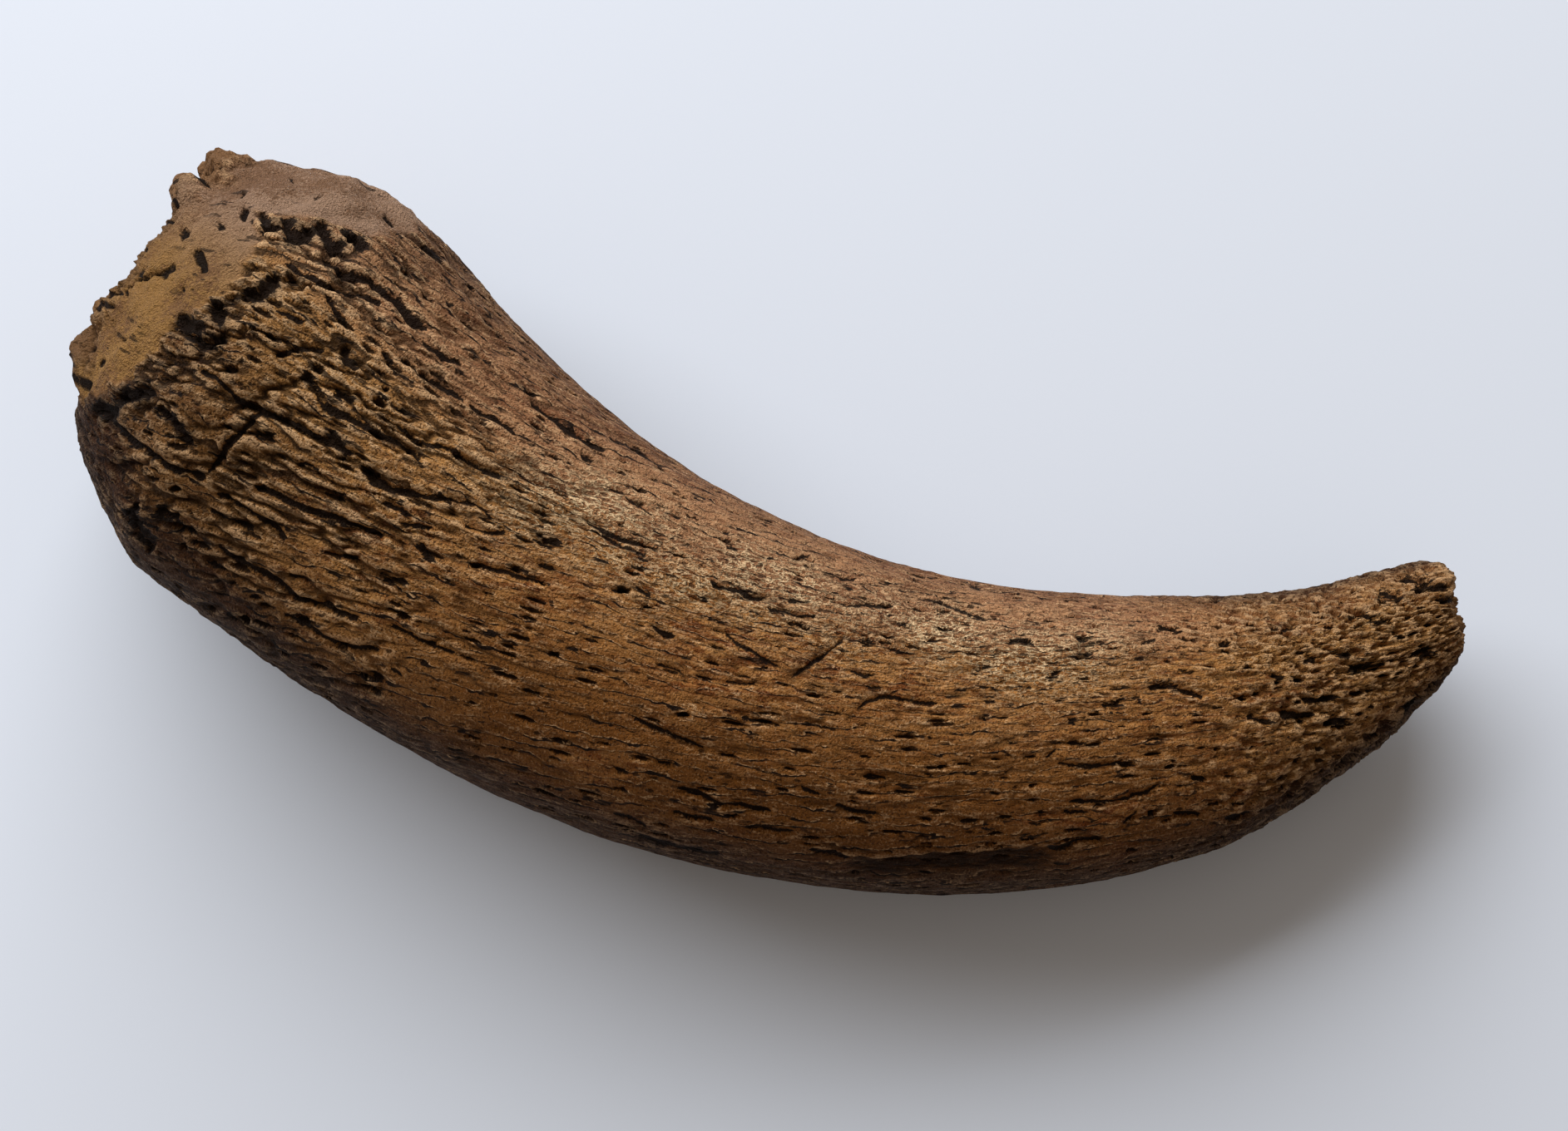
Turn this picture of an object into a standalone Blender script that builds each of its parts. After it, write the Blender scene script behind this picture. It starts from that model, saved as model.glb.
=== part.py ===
# Cattle horn core: the bony inside of a horn, broken from the skull, lying on its side.
# Metres, Z up. The core bends in plan and its underside rests on Z = 0.

import math

import bmesh
import bpy
import numpy as np
from mathutils import Vector, noise

MM = 0.001

# The middle line, in millimetres from the break, and its heading in plan in degrees.
LENGTH = 252.5
START = (-105.0, 45.3)
HEADINGS = (
    (0, -50),
    (30, -47),
    (52, -41.5),
    (73, -35.5),
    (94, -28.5),
    (116, -20.5),
    (138, -12.5),
    (159, -3.5),
    (181, 5),
    (203, 13),
    (220, 19),
    (251, 25),
)

# Distance from the break, then how far the section reaches to the outer side of the
# bend, to the inner side, up and down.
SECTIONS = (
    (0, 19, 17, 14, 13),
    (6, 26, 25, 20, 18),
    (14, 30, 30, 25, 24),
    (24, 32.5, 36.5, 28.5, 28.5),
    (37, 36, 37, 30.5, 30.5),
    (52, 34.2, 35.6, 30, 29.5),
    (73, 32, 33.5, 28, 28),
    (94, 30.8, 31.2, 26.5, 26),
    (116, 29.8, 29.2, 25, 24),
    (138, 28.2, 27, 23.5, 22),
    (159, 27.2, 24.6, 21.5, 20.5),
    (181, 25.8, 22, 20, 18.5),
    (203, 23.4, 18.5, 17.5, 16),
    (220, 18.8, 15, 15, 13.5),
    (235, 14.8, 12, 12, 11),
    (246, 9.5, 10, 9.5, 9),
    (251, 6.5, 9, 7, 6.5),
)

# Height of the underside over the table. A little below it, so that it rests on flats.
UNDERSIDE = (
    (0, 14),
    (6, 10),
    (14, 5),
    (24, 1.5),
    (37, -0.35),
    (52, -0.35),
    (181, -0.35),
    (203, 1),
    (220, 3),
    (235, 5.5),
    (251, 8.5),
)

TABLE_BLUR = 7.0
END_RUN = 20.0

# The break leans: its outer edge and its top edge stand further along the core.
BREAK_SLANT = 0.32
BREAK_LEAN = 0.3
LEAN_FADES_BY = 45.0

# The tip closes in a blunt nose.
NOSE = 6.0
NOSE_POWER = 0.85

# Grid before it is thinned.
AROUND = 168
FACE_RINGS = 18
SIDE_RINGS = 168
NOSE_RINGS = 14
RINGS = FACE_RINGS + SIDE_RINGS + NOSE_RINGS
BASE_SHARE = 0.4
BASE_RUN = 62.0
TRIANGLES = 9600

# The grain turns round the core: sideways run per millimetre along, outwards positive.
GRAIN = (
    (0, -0.6),
    (30, -0.55),
    (50, -0.4),
    (100, -0.34),
    (112, -0.22),
    (150, -0.22),
    (160, -0.16),
    (182, 0),
    (205, 0.12),
    (226, 0.28),
    (251, 0.33),
)
GRAIN_RADIUS = 28.0

# Furrows of the whole surface: width across the grain, length along it, depth.
FURROW_WIDTH = 6.0
FURROW_LENGTH = 34.0
FURROW_DEPTH = 1.1
FINE_WIDTH = 3.4
FINE_LENGTH = 15.0
FINE_DEPTH = 0.7

# The burr: the rough ring where the horn began, beyond the smooth collar of skull bone.
# The collar's edge is given as angle round the core in degrees, and distance along.
COLLAR_EDGE = (
    (-90, 14),
    (-45, 11),
    (0, 8),
    (25, 8),
    (45, 14),
    (61, 19.5),
    (79, 21),
    (93, 24.5),
    (104, 24),
    (112, 20.5),
    (120, 16.5),
    (126, 25),
    (132, 31),
    (140, 35),
    (157, 35.5),
    (171, 34),
    (190, 28),
    (225, 19),
    (270, 14),
)
BURR_WIDTH = 22.0
BURR_LIFT = 0.8
BURR_ROUGHNESS = 1.4
BURR_GRAIN = 5.0

# The crumbly tip.
TIP_START = 196.0
TIP_ROUGHNESS = 1.0
TIP_GRAIN = 4.5

# The broken edge and face at the base.
BREAK_ROUGHNESS = 1.7
BREAK_GRAIN = 5.5
BREAK_REACH = 7.0

# Lumps: distance along, arc distance from the top line (outer side positive), radius,
# height. Pits carry a negative height.
LUMPS = (
    (2, -21.5, 4.5, 3.0),
    (0.5, -13.5, 4.5, 2.6),
    (0.5, 11.5, 4, 1.6),
    (0.5, 19.5, 4.5, 1.6),
    (3, 23.5, 5, 1.6),
    (14.5, -13.5, 1.7, -1.6),
    (6.5, -4.5, 1.7, -1.6),
    (13, -9, 1.4, -1.3),
    (16.5, -3, 1.7, -1.5),
    (10, 12.5, 1.6, -1.3),
    (32, -33, 1.6, -1.1),
    (24, -13, 2.4, -2.4),
    (25.5, -17, 2.6, -2.4),
    (29, -20.5, 2.6, -2.4),
    (28.5, -5.5, 2.8, -2.8),
    (27.5, 0, 2.6, -2.6),
    (24, 4, 2.4, -2.4),
    (23, 17.5, 2.6, -2.6),
    (20, 22, 2.4, -2.2),
    (35, -17.5, 3.0, -2.6),
    (42, -19, 2.8, -2.2),
    (37, -7, 2.4, -2.0),
    (49, -3, 2.2, -1.6),
    (49.5, -8, 2.2, -1.6),
    (54, -5, 2.0, -1.4),
    (39, 15, 10, 1.2),
    (246, -9, 4.5, 1.2),
    (236, -11, 5, 1.0),
    (234, 12, 3.5, -1.6),
    (215, 6.5, 3.5, -1.1),
    (229, 3, 3.5, -1.0),
)

# Cracks and deep furrows: half width, depth, then points as distance along and arc
# distance from the top line.
CUTS = (
    (1.6, 2.3, ((34, 7), (42, 5), (49, 4.5), (59, 3), (71, 2.5))),
    (1.5, 2.0, ((46.5, 5), (46.5, 10), (46.5, 14), (47, 17.5))),
    (1.5, 1.8, ((23.5, 22), (35, 21.5), (46, 19))),
    (1.3, 1.2, ((35, 17), (42, 15.5))),
    (1.0, 1.3, ((9, 0), (8, 2.5), (6, 5), (8, 6.5))),
    (1.4, 1.6, ((50, -2), (60, -3), (69, -4))),
    (1.5, 1.8, ((34, -16.5), (43, -19.5), (50, -21), (58, -23))),
    (1.3, 1.4, ((42, -27), (50, -32), (60, -35))),
    (1.5, 1.5, ((54, 22), (68, 17), (82, 12))),
    (1.5, 1.4, ((50, 33), (64, 28), (80, 22))),
    (1.4, 1.3, ((66, -13), (78, -17), (92, -21))),
    (1.4, 1.3, ((82, 3), (98, -2), (112, -6))),
    (1.4, 1.2, ((96, 21), (112, 16), (130, 12))),
    (1.2, 1.1, ((124, -6), (133, -2), (142, -12))),
    (2.1, 1.8, ((150, 25.5), (164, 24), (178, 22))),
    (1.3, 1.0, ((150, -12), (166, -14), (180, -14))),
    (1.4, 1.1, ((196, 5), (206, 6), (217, 9))),
)

# Vertices lower than this after thinning are set on the table.
SETTLE = 0.08

BONE_COLOUR = (0.13, 0.07, 0.035, 1.0)
BONE_ROUGHNESS = 0.85


def table(rows, column, at):
    """A column of a table, run through with a soft curve."""
    rows = np.array(rows, float)
    grid = np.linspace(-END_RUN, LENGTH + END_RUN, 1200)
    values = np.interp(grid, rows[:, 0], rows[:, column])
    first = (rows[1, column] - rows[0, column]) / (rows[1, 0] - rows[0, 0])
    last = (rows[-1, column] - rows[-2, column]) / (rows[-1, 0] - rows[-2, 0])
    before = grid < rows[0, 0]
    after = grid > rows[-1, 0]
    values[before] = rows[0, column] + (grid[before] - rows[0, 0]) * first
    values[after] = rows[-1, column] + (grid[after] - rows[-1, 0]) * last
    count = int(TABLE_BLUR / (grid[1] - grid[0])) | 1
    window = np.hanning(count + 2)[1:-1]
    padded = np.pad(values, count // 2, mode="reflect", reflect_type="odd")
    blurred = np.convolve(padded, window / window.sum(), "valid")
    return np.interp(at, grid, blurred)


def spine(at):
    """Plan position and heading of the middle line."""
    grid = np.linspace(-END_RUN, LENGTH + END_RUN, 2911)
    step = grid[1] - grid[0]
    rows = np.radians(np.array(HEADINGS, float)[:, 1])
    turn = np.interp(grid, np.array(HEADINGS, float)[:, 0], rows)
    window = np.hanning(201)
    turn = np.convolve(np.pad(turn, 100, mode="edge"), window / window.sum(), "valid")
    x = np.cumsum(np.cos(turn)) * step
    y = np.cumsum(np.sin(turn)) * step
    x = x - np.interp(0, grid, x) + START[0]
    y = y - np.interp(0, grid, y) + START[1]
    return np.interp(at, grid, x), np.interp(at, grid, y), np.interp(at, grid, turn)


def ring_of(index):
    """Distance along the core and share of the section's size, for each ring."""
    side = np.clip((index - FACE_RINGS) / SIDE_RINGS, 0, 1)
    nose = np.clip((index - FACE_RINGS - SIDE_RINGS) / NOSE_RINGS, 0, 1) * math.pi / 2
    run = LENGTH - NOSE
    near = side / BASE_SHARE * BASE_RUN
    far = BASE_RUN + (side - BASE_SHARE) / (1 - BASE_SHARE) * (run - BASE_RUN)
    along = np.where(side < BASE_SHARE, near, far) + NOSE * np.sin(nose)
    share = np.clip(index / FACE_RINGS, 0, 1)
    share = share * np.clip(np.cos(nose), 0, 1) ** NOSE_POWER
    return along, share


def body_points(index, angle):
    """Smooth form of the core in millimetres. Angle 0 is the outer side, 90 degrees up."""
    along, share = ring_of(index)
    outer = table(SECTIONS, 1, along)
    inner = table(SECTIONS, 2, along)
    up = table(SECTIONS, 3, along)
    down = table(SECTIONS, 4, along)
    side = np.where(np.cos(angle) > 0, outer, inner) * np.cos(angle) * share
    rise = np.where(np.sin(angle) > 0, up, down) * np.sin(angle) * share
    fade = np.clip(1 - along / LEAN_FADES_BY, 0, 1)
    shifted = along + (BREAK_SLANT * side + BREAK_LEAN * rise) * fade
    x, y, turn = spine(shifted)
    height = down + table(UNDERSIDE, 1, along) + rise
    points = np.column_stack((x + side * np.sin(turn), y - side * np.cos(turn), height))
    radius = (outer + inner + up + down) / 4
    return points, along, share, radius


def fractal(points, octaves, seed):
    """Layered noise at each point, about -1 to 1."""
    shift = Vector((seed * 17.3, seed * 5.1, seed * 29.7))
    return np.array([noise.fractal(Vector(p) + shift, 0.9, 2.1, octaves) for p in points])


def grain_turn(along):
    """Angle by which the grain has turned round the core."""
    grid = np.linspace(0, LENGTH, 500)
    rows = np.array(GRAIN, float)
    run = np.cumsum(np.interp(grid, rows[:, 0], rows[:, 1])) * (grid[1] - grid[0])
    return np.interp(along, grid, run) / GRAIN_RADIUS


def grain_noise(angle, along, share, width, length, octaves, seed):
    """Noise drawn out along the grain."""
    turned = angle + grain_turn(along)
    reach = share * GRAIN_RADIUS / width
    points = np.column_stack((reach * np.cos(turned), reach * np.sin(turned), along / length))
    return fractal(points, octaves, seed)


def step(value, start, end):
    """Soft step from 0 at start to 1 at end."""
    share = np.clip((value - start) / (end - start), 0, 1)
    return share * share * (3 - 2 * share)


def collar_edge(angle):
    """Distance along at which the smooth collar ends, for each angle round the core."""
    degrees = np.degrees(angle)
    degrees = np.where(degrees < -90, degrees + 360, degrees)
    rows = np.array(COLLAR_EDGE, float)
    return np.interp(degrees, rows[:, 0], rows[:, 1])


def cut_depth(along, arc, points, half_width):
    """Share of a cut's depth at each place: 1 on the line, 0 beyond its half width."""
    place = np.column_stack((along, arc))
    nearest = np.full(len(along), np.inf)
    for start, end in zip(points[:-1], points[1:]):
        start = np.array(start, float)
        run = np.array(end, float) - start
        share = np.clip((place - start) @ run / (run @ run), 0, 1)
        gap = np.linalg.norm(place - start - share[:, None] * run, axis=1)
        nearest = np.minimum(nearest, gap)
    return 1 - step(nearest, 0.25 * half_width, 1.6 * half_width)


def relief(points, along, share, angle, radius):
    """Height of lumps, ledges, pits and furrows over the smooth form, in millimetres."""
    arc = (math.pi / 2 - angle) * radius * share
    arc = np.where(angle < -math.pi / 2, arc - 2 * math.pi * radius * share, arc)
    on_side = step(share, 0.75, 1.0)

    edge = collar_edge(angle)
    burr = step(along, edge - 2, edge + 2)
    burr = burr * (1 - step(along, edge + 0.5 * BURR_WIDTH, edge + BURR_WIDTH))
    beyond = step(along, edge, edge + 6)
    tip = step(along, TIP_START, TIP_START + 30)
    broken = 1 - step(along, 0, BREAK_REACH)

    coarse = grain_noise(angle, along, share, FURROW_WIDTH, FURROW_LENGTH, 3, 1)
    fine = grain_noise(angle, along, share, FINE_WIDTH, FINE_LENGTH, 2, 2)
    height = beyond * (1 - 0.5 * tip) * FURROW_DEPTH * coarse
    height += beyond * FINE_DEPTH * np.minimum(fine, 0.25)
    height += burr * (BURR_LIFT + BURR_ROUGHNESS * fractal(points / BURR_GRAIN, 3, 3))
    height += tip * TIP_ROUGHNESS * fractal(points / TIP_GRAIN, 2, 4)
    height += broken * BREAK_ROUGHNESS * fractal(points / BREAK_GRAIN, 2, 5)

    for where, across, size, rise in LUMPS:
        gap = np.hypot(along - where, arc - across)
        height += on_side * rise * (1 - step(gap, 0.2 * size, 1.3 * size))
    for half_width, depth, line in CUTS:
        height -= on_side * depth * cut_depth(along, arc, line, half_width)
    return height


def sphere_mesh(name):
    """A sphere whose rings become the rings of the core."""
    mesh = bpy.data.meshes.new(name)
    shape = bmesh.new()
    bmesh.ops.create_uvsphere(shape, u_segments=AROUND, v_segments=RINGS, radius=1.0)
    bmesh.ops.triangulate(shape, faces=shape.faces)
    shape.to_mesh(mesh)
    shape.free()
    return mesh


def coordinates(mesh):
    flat = np.empty(len(mesh.vertices) * 3)
    mesh.vertices.foreach_get("co", flat)
    return flat.reshape(-1, 3)


def place(mesh, points):
    mesh.vertices.foreach_set("co", points.ravel() * MM)
    mesh.update()


def shape_core(mesh):
    """Moves the sphere's points onto the core and raises the relief on it."""
    ball = coordinates(mesh)
    index = np.round(np.arccos(np.clip(ball[:, 2], -1, 1)) / math.pi * RINGS)
    angle = np.arctan2(ball[:, 1], ball[:, 0])
    points, along, share, radius = body_points(index, angle)
    place(mesh, points)
    normals = np.array([vertex.normal for vertex in mesh.vertices])
    height = relief(points, along, share, angle, radius)
    points = points + normals * height[:, None]
    points[:, 2] = np.maximum(points[:, 2], 0)
    place(mesh, points)


def thin_out(core):
    """Keeps the triangles that carry the shape, and sets the underside on the table."""
    modifier = core.modifiers.new("thin_out", "DECIMATE")
    modifier.ratio = TRIANGLES / len(core.data.polygons)
    graph = bpy.context.evaluated_depsgraph_get()
    thinned = bpy.data.meshes.new_from_object(core.evaluated_get(graph))
    core.modifiers.clear()
    core.data = thinned
    points = coordinates(thinned) / MM
    points[:, 2] = np.where(points[:, 2] < SETTLE, 0, points[:, 2])
    place(thinned, points)


def bone():
    material = bpy.data.materials.new("bone")
    material.use_nodes = True
    shader = material.node_tree.nodes["Principled BSDF"]
    shader.inputs["Base Color"].default_value = BONE_COLOUR
    shader.inputs["Roughness"].default_value = BONE_ROUGHNESS
    material.diffuse_color = BONE_COLOUR
    return material


def main():
    for item in list(bpy.data.objects):
        bpy.data.objects.remove(item, do_unlink=True)
    group = bpy.data.collections.new("cattle_horn_core")
    bpy.context.scene.collection.children.link(group)
    core = bpy.data.objects.new("horn_core", sphere_mesh("horn_core"))
    group.objects.link(core)
    shape_core(core.data)
    thin_out(core)
    core.data.materials.append(bone())


main()
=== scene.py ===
import math
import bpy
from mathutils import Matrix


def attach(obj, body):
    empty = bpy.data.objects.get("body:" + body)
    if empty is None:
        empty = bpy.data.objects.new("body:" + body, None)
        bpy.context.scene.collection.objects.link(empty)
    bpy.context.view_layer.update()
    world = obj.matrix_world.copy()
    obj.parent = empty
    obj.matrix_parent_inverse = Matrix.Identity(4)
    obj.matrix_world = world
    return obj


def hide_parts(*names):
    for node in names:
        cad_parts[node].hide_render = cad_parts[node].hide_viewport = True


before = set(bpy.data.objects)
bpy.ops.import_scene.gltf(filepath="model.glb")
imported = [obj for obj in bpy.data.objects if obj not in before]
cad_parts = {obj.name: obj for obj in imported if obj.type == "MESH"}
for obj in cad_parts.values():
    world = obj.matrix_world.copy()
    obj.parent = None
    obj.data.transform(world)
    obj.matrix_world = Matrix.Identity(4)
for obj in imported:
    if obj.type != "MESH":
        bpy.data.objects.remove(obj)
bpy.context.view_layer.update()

from types import SimpleNamespace

import bpy
import numpy as np
from mathutils import Vector

# A weathered cattle horn core lying on white paper, seen from above.
# Lengths are in millimetres until a mesh is written, then in metres.

mm = 0.001

# The camera stands where the photograph was taken from. Its frame is 1885 x 1360 pixels.
camera = {
    "width": 1885,
    "height": 1360,
    "mmPerPixel": 0.138,  # at the aim point
    "distance": 340.0,
    "elevation": 76.0,
    "aim": (2.3, -9.1, 26.0),
    "sensor": 36.0,
    "nearest": 0.01,  # metres
}

# The form: a middle line that bends in plan, and oval sections along it.
core = {
    "length": 252.5,
    "start": (-105.0, 45.3),
    # distance from the break, heading in plan in degrees
    "headings": (
        (0, -50), (30, -47), (52, -41.5), (73, -35.5), (94, -28.5), (116, -20.5),
        (138, -12.5), (159, -3.5), (181, 5), (203, 13), (220, 19), (251, 25),
    ),
    # distance, reach to the outer side of the bend, inner side, up, down
    "sections": (
        (0, 19, 17, 14, 13), (6, 26, 25, 20, 18), (14, 30, 30, 25, 24),
        (24, 32.5, 36.5, 28.5, 28.5), (37, 36, 37, 30.5, 30.5), (52, 34.2, 35.6, 30, 29.5),
        (73, 32, 33.5, 28, 28), (94, 30.8, 31.2, 26.5, 26), (116, 29.8, 29.2, 25, 24),
        (138, 28.2, 27, 23.5, 22), (159, 27.2, 24.6, 21.5, 20.5), (181, 25.8, 22, 20, 18.5),
        (203, 23.2, 18.5, 17.5, 16), (220, 18.2, 14.6, 15, 13.5), (235, 13.6, 11.4, 12, 11),
        (246, 8.4, 8.8, 9.5, 9), (251, 5.8, 7.6, 7, 6.5),
    ),
    # distance, height of the underside over the paper
    "underside": (
        (0, 14), (6, 10), (14, 5), (24, 1.5), (37, -0.35), (52, -0.35), (181, -0.35),
        (203, 1), (220, 3), (235, 5.5), (251, 8.5),
    ),
    "tableBlur": 7.0,
    "breakSlant": 0.32,  # the outer edge of the break stands further along
    "tipSlant": 0.3,  # and the inner edge of the tip
    "tipSlantRuns": (226, 250),
    "breakLean": 0.3,  # and so does its top edge
    "leanFadesBy": 45.0,
    "nose": 6.0,
    "nosePower": 0.85,
    # distance, sideways run of the grain per millimetre along, outwards positive, then
    # what is added on the inner side of the bend, and what is added low on the outer side
    "grain": (
        (0, -0.4, 0, 0.2), (25, -0.30, 0.05, 0.2), (50, -0.27, 0.13, 0.05), (75, -0.27, 0.11, -0.1),
        (90, -0.26, 0.04, -0.1), (105, -0.19, 0, -0.06), (120, -0.12, 0, 0), (160, -0.07, 0, 0),
        (180, 0, 0, 0), (195, 0.14, 0, 0), (210, 0.40, 0, 0), (225, 0.58, 0, 0), (251, 0.8, 0, 0),
    ),
    "grainRadius": 28.0,
    # distance, how much shorter the pores get
    "grainPace": ((0, 0.85), (60, 0.95), (120, 1.0), (180, 1.15), (215, 1.6), (251, 2.0)),
    # angle round the core in degrees (0 outer side, 90 top), distance where the collar ends
    "collarEdge": (
        (-90, 11), (-45, 10), (0, 8), (25, 8), (45, 14), (61, 19.5), (79, 21), (93, 24.5),
        (104, 24), (112, 20.5), (120, 16.5), (126, 25), (132, 31), (140, 35), (157, 35.5),
        (171, 33), (190, 25), (225, 15), (270, 11),
    ),
    "around": 600,
    "faceRings": 50,
    "baseRings": 190,
    "baseRun": 72.0,
    "bodyRings": 380,
    "noseRings": 26,
    "triangles": 196000,
}


# Places of the form

def table(rows, column, at):  # a column of a table, softened where it turns
    rows = np.array(rows, float)
    grid = np.linspace(-20, core["length"] + 20, 1200)
    values = np.interp(grid, rows[:, 0], rows[:, column])
    first = (rows[1, column] - rows[0, column]) / (rows[1, 0] - rows[0, 0])
    last = (rows[-1, column] - rows[-2, column]) / (rows[-1, 0] - rows[-2, 0])
    before = grid < rows[0, 0]
    after = grid > rows[-1, 0]
    values[before] = rows[0, column] + (grid[before] - rows[0, 0]) * first
    values[after] = rows[-1, column] + (grid[after] - rows[-1, 0]) * last
    count = int(core["tableBlur"] / (grid[1] - grid[0])) | 1
    window = np.hanning(count + 2)[1:-1]
    padded = np.pad(values, count // 2, mode="reflect", reflect_type="odd")
    return np.interp(at, grid, np.convolve(padded, window / window.sum(), "valid"))


def spine(at):  # plan position and heading of the middle line
    grid = np.linspace(-20, core["length"] + 20, 2911)
    pace = grid[1] - grid[0]
    rows = np.array(core["headings"], float)
    turn = np.interp(grid, rows[:, 0], np.radians(rows[:, 1]))
    window = np.hanning(201)
    turn = np.convolve(np.pad(turn, 100, mode="edge"), window / window.sum(), "valid")
    x = np.cumsum(np.cos(turn)) * pace
    y = np.cumsum(np.sin(turn)) * pace
    x = x - np.interp(0, grid, x) + core["start"][0]
    y = y - np.interp(0, grid, y) + core["start"][1]
    return np.interp(at, grid, x), np.interp(at, grid, y), np.interp(at, grid, turn)


def ringTable():  # distance along and share of the section's size, for each ring
    run = core["length"] - core["nose"]
    face = np.linspace(0, 1, core["faceRings"] + 1)[1:-1]
    base = np.linspace(0, core["baseRun"], core["baseRings"] + 1)[:-1]
    body = np.linspace(core["baseRun"], run, core["bodyRings"] + 1)[:-1]
    turn = np.linspace(0, math.pi / 2, core["noseRings"] + 1)[:-1]
    nose = run + core["nose"] * np.sin(turn)
    along = np.concatenate((np.zeros(len(face)), base, body, nose))
    full = np.ones(len(base) + len(body))
    share = np.concatenate((face, full, np.cos(turn) ** core["nosePower"]))
    return along, share


def softStep(value, start, end):
    share = np.clip((value - start) / (end - start), 0, 1)
    return share * share * (3 - 2 * share)


def formPoints(along, share, angle):  # the smooth form, and the section's mean radius
    outer, inner, up, down = (table(core["sections"], n, along) for n in (1, 2, 3, 4))
    side = np.where(np.cos(angle) > 0, outer, inner) * np.cos(angle) * share
    rise = np.where(np.sin(angle) > 0, up, down) * np.sin(angle) * share
    fade = np.clip(1 - along / core["leanFadesBy"], 0, 1)
    shifted = along + (core["breakSlant"] * side + core["breakLean"] * rise) * fade
    shifted = shifted + core["tipSlant"] * np.maximum(-side, 0) * softStep(along, *core["tipSlantRuns"])
    x, y, turn = spine(shifted)
    height = down + table(core["underside"], 1, along) + rise
    points = np.column_stack((x + side * np.sin(turn), y - side * np.cos(turn), height))
    return points, (outer + inner + up + down) / 4


def running(rows, column, at):  # running total of a table's column along the core
    grid = np.linspace(0, core["length"], 600)
    rows = np.array(rows, float)
    total = np.cumsum(np.interp(grid, rows[:, 0], rows[:, column])) * (grid[1] - grid[0])
    return np.interp(at, grid, total)


def nearAngle(angle, centre, reach):  # 1 at an angle round the core, 0 beyond its reach
    away = np.abs((np.degrees(angle) - centre + 180) % 360 - 180)
    return 1 - softStep(away, 0, reach)


def grainPlace(along, share, angle):  # a place with the turn of the grain taken out
    turned = running(core["grain"], 1, along)
    turned = turned + nearAngle(angle, 125, 75) * running(core["grain"], 2, along)
    turned = angle + (
        turned + nearAngle(angle, -5, 60) * running(core["grain"], 3, along)
    ) / core["grainRadius"]
    reach = core["grainRadius"] * share
    return np.column_stack((
        running(core["grainPace"], 1, along), reach * np.cos(turned), reach * np.sin(turned),
    ))


# The camera, and where a point of the form falls in its frame

def cameraAxes():
    lift = math.radians(camera["elevation"])
    right = np.array((1.0, 0.0, 0.0))
    up = np.array((0.0, math.sin(lift), math.cos(lift)))
    back = np.array((0.0, -math.cos(lift), math.sin(lift)))
    return right, up, back


def pixelsOf(points, normals):  # pixel of each point, and how squarely it faces the lens
    right, up, back = cameraAxes()
    eye = np.array(camera["aim"]) + back * camera["distance"]
    ray = points - eye
    depth = -(ray @ back)
    focal = camera["distance"] / camera["mmPerPixel"]
    x = camera["width"] / 2 + focal * (ray @ right) / depth
    y = camera["height"] / 2 - focal * (ray @ up) / depth
    facing = -np.sum(ray * normals, axis=1) / np.linalg.norm(ray, axis=1)
    return np.column_stack((x, y)), facing


def makeCamera():
    right, up, back = cameraAxes()
    lens = bpy.data.cameras.new("camera")
    lens.sensor_width = camera["sensor"]
    focal = camera["distance"] / camera["mmPerPixel"]
    lens.lens = focal * camera["sensor"] / camera["width"]
    lens.clip_start = camera["nearest"]
    made = bpy.data.objects.new("camera", lens)
    made.location = Vector(np.array(camera["aim"]) + back * camera["distance"]) * mm
    made.rotation_mode = "QUATERNION"
    made.rotation_quaternion = (-Vector(back)).to_track_quat("-Z", "Y")
    bpy.context.scene.collection.objects.link(made)
    bpy.context.scene.camera = made


# Lumps left on the broken edge, the crust slab and bumps of the tip: distance along, arc
# from the top line towards the outer side, radius and height in millimetres
lumps = (
    (2, -18.5, 3.8, 3.6), (4, -22.5, 3.4, 2.2), (0.5, -10.5, 4.2, 3.2), (0.5, 11.5, 4, 1.8),
    (0.5, 19.5, 4.5, 1.8), (3, 23.5, 5, 1.8), (0.5, 30, 4, 1.4), (1, -32, 4, 1.4), (31.5, -39.5, 5, 0.8),
    (39, 15, 10, 1.2), (245, -9, 7, 1.0), (236, -11, 6, 0.8), (250, -5, 4.5, 2.0),
)

# Notches of the outline: distance along, angle round the core, radius and depth
notches = (
    (24.5, 164, 4.0, 1.8), (34.5, 170, 3.4, 2.4), (44, 163, 4.0, 1.1), (250.4, 76, 2.0, 1.0),
    (237.5, 7, 2.6, 1.6), (50, 172, 2.0, 0.8), (196, 2, 1.5, 0.7), (203.5, 6, 1.3, 0.8),
    (209, 11, 1.8, 0.7), (215.5, 17, 1.4, 0.9), (222, 24, 2.0, 0.8), (229.5, 31, 1.6, 1.0),
)

# The trench low on the belly, painted dark as the shade under its upper lip
trench = {
    "reach": 7.5,  # down the side
    "depth": 0.9,
    # upper lip: distance along, angle round the core
    "lip": ((147, 30), (152, 31), (156, 34), (163, 36.5), (171, 37.5), (177, 39)),
}

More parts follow.
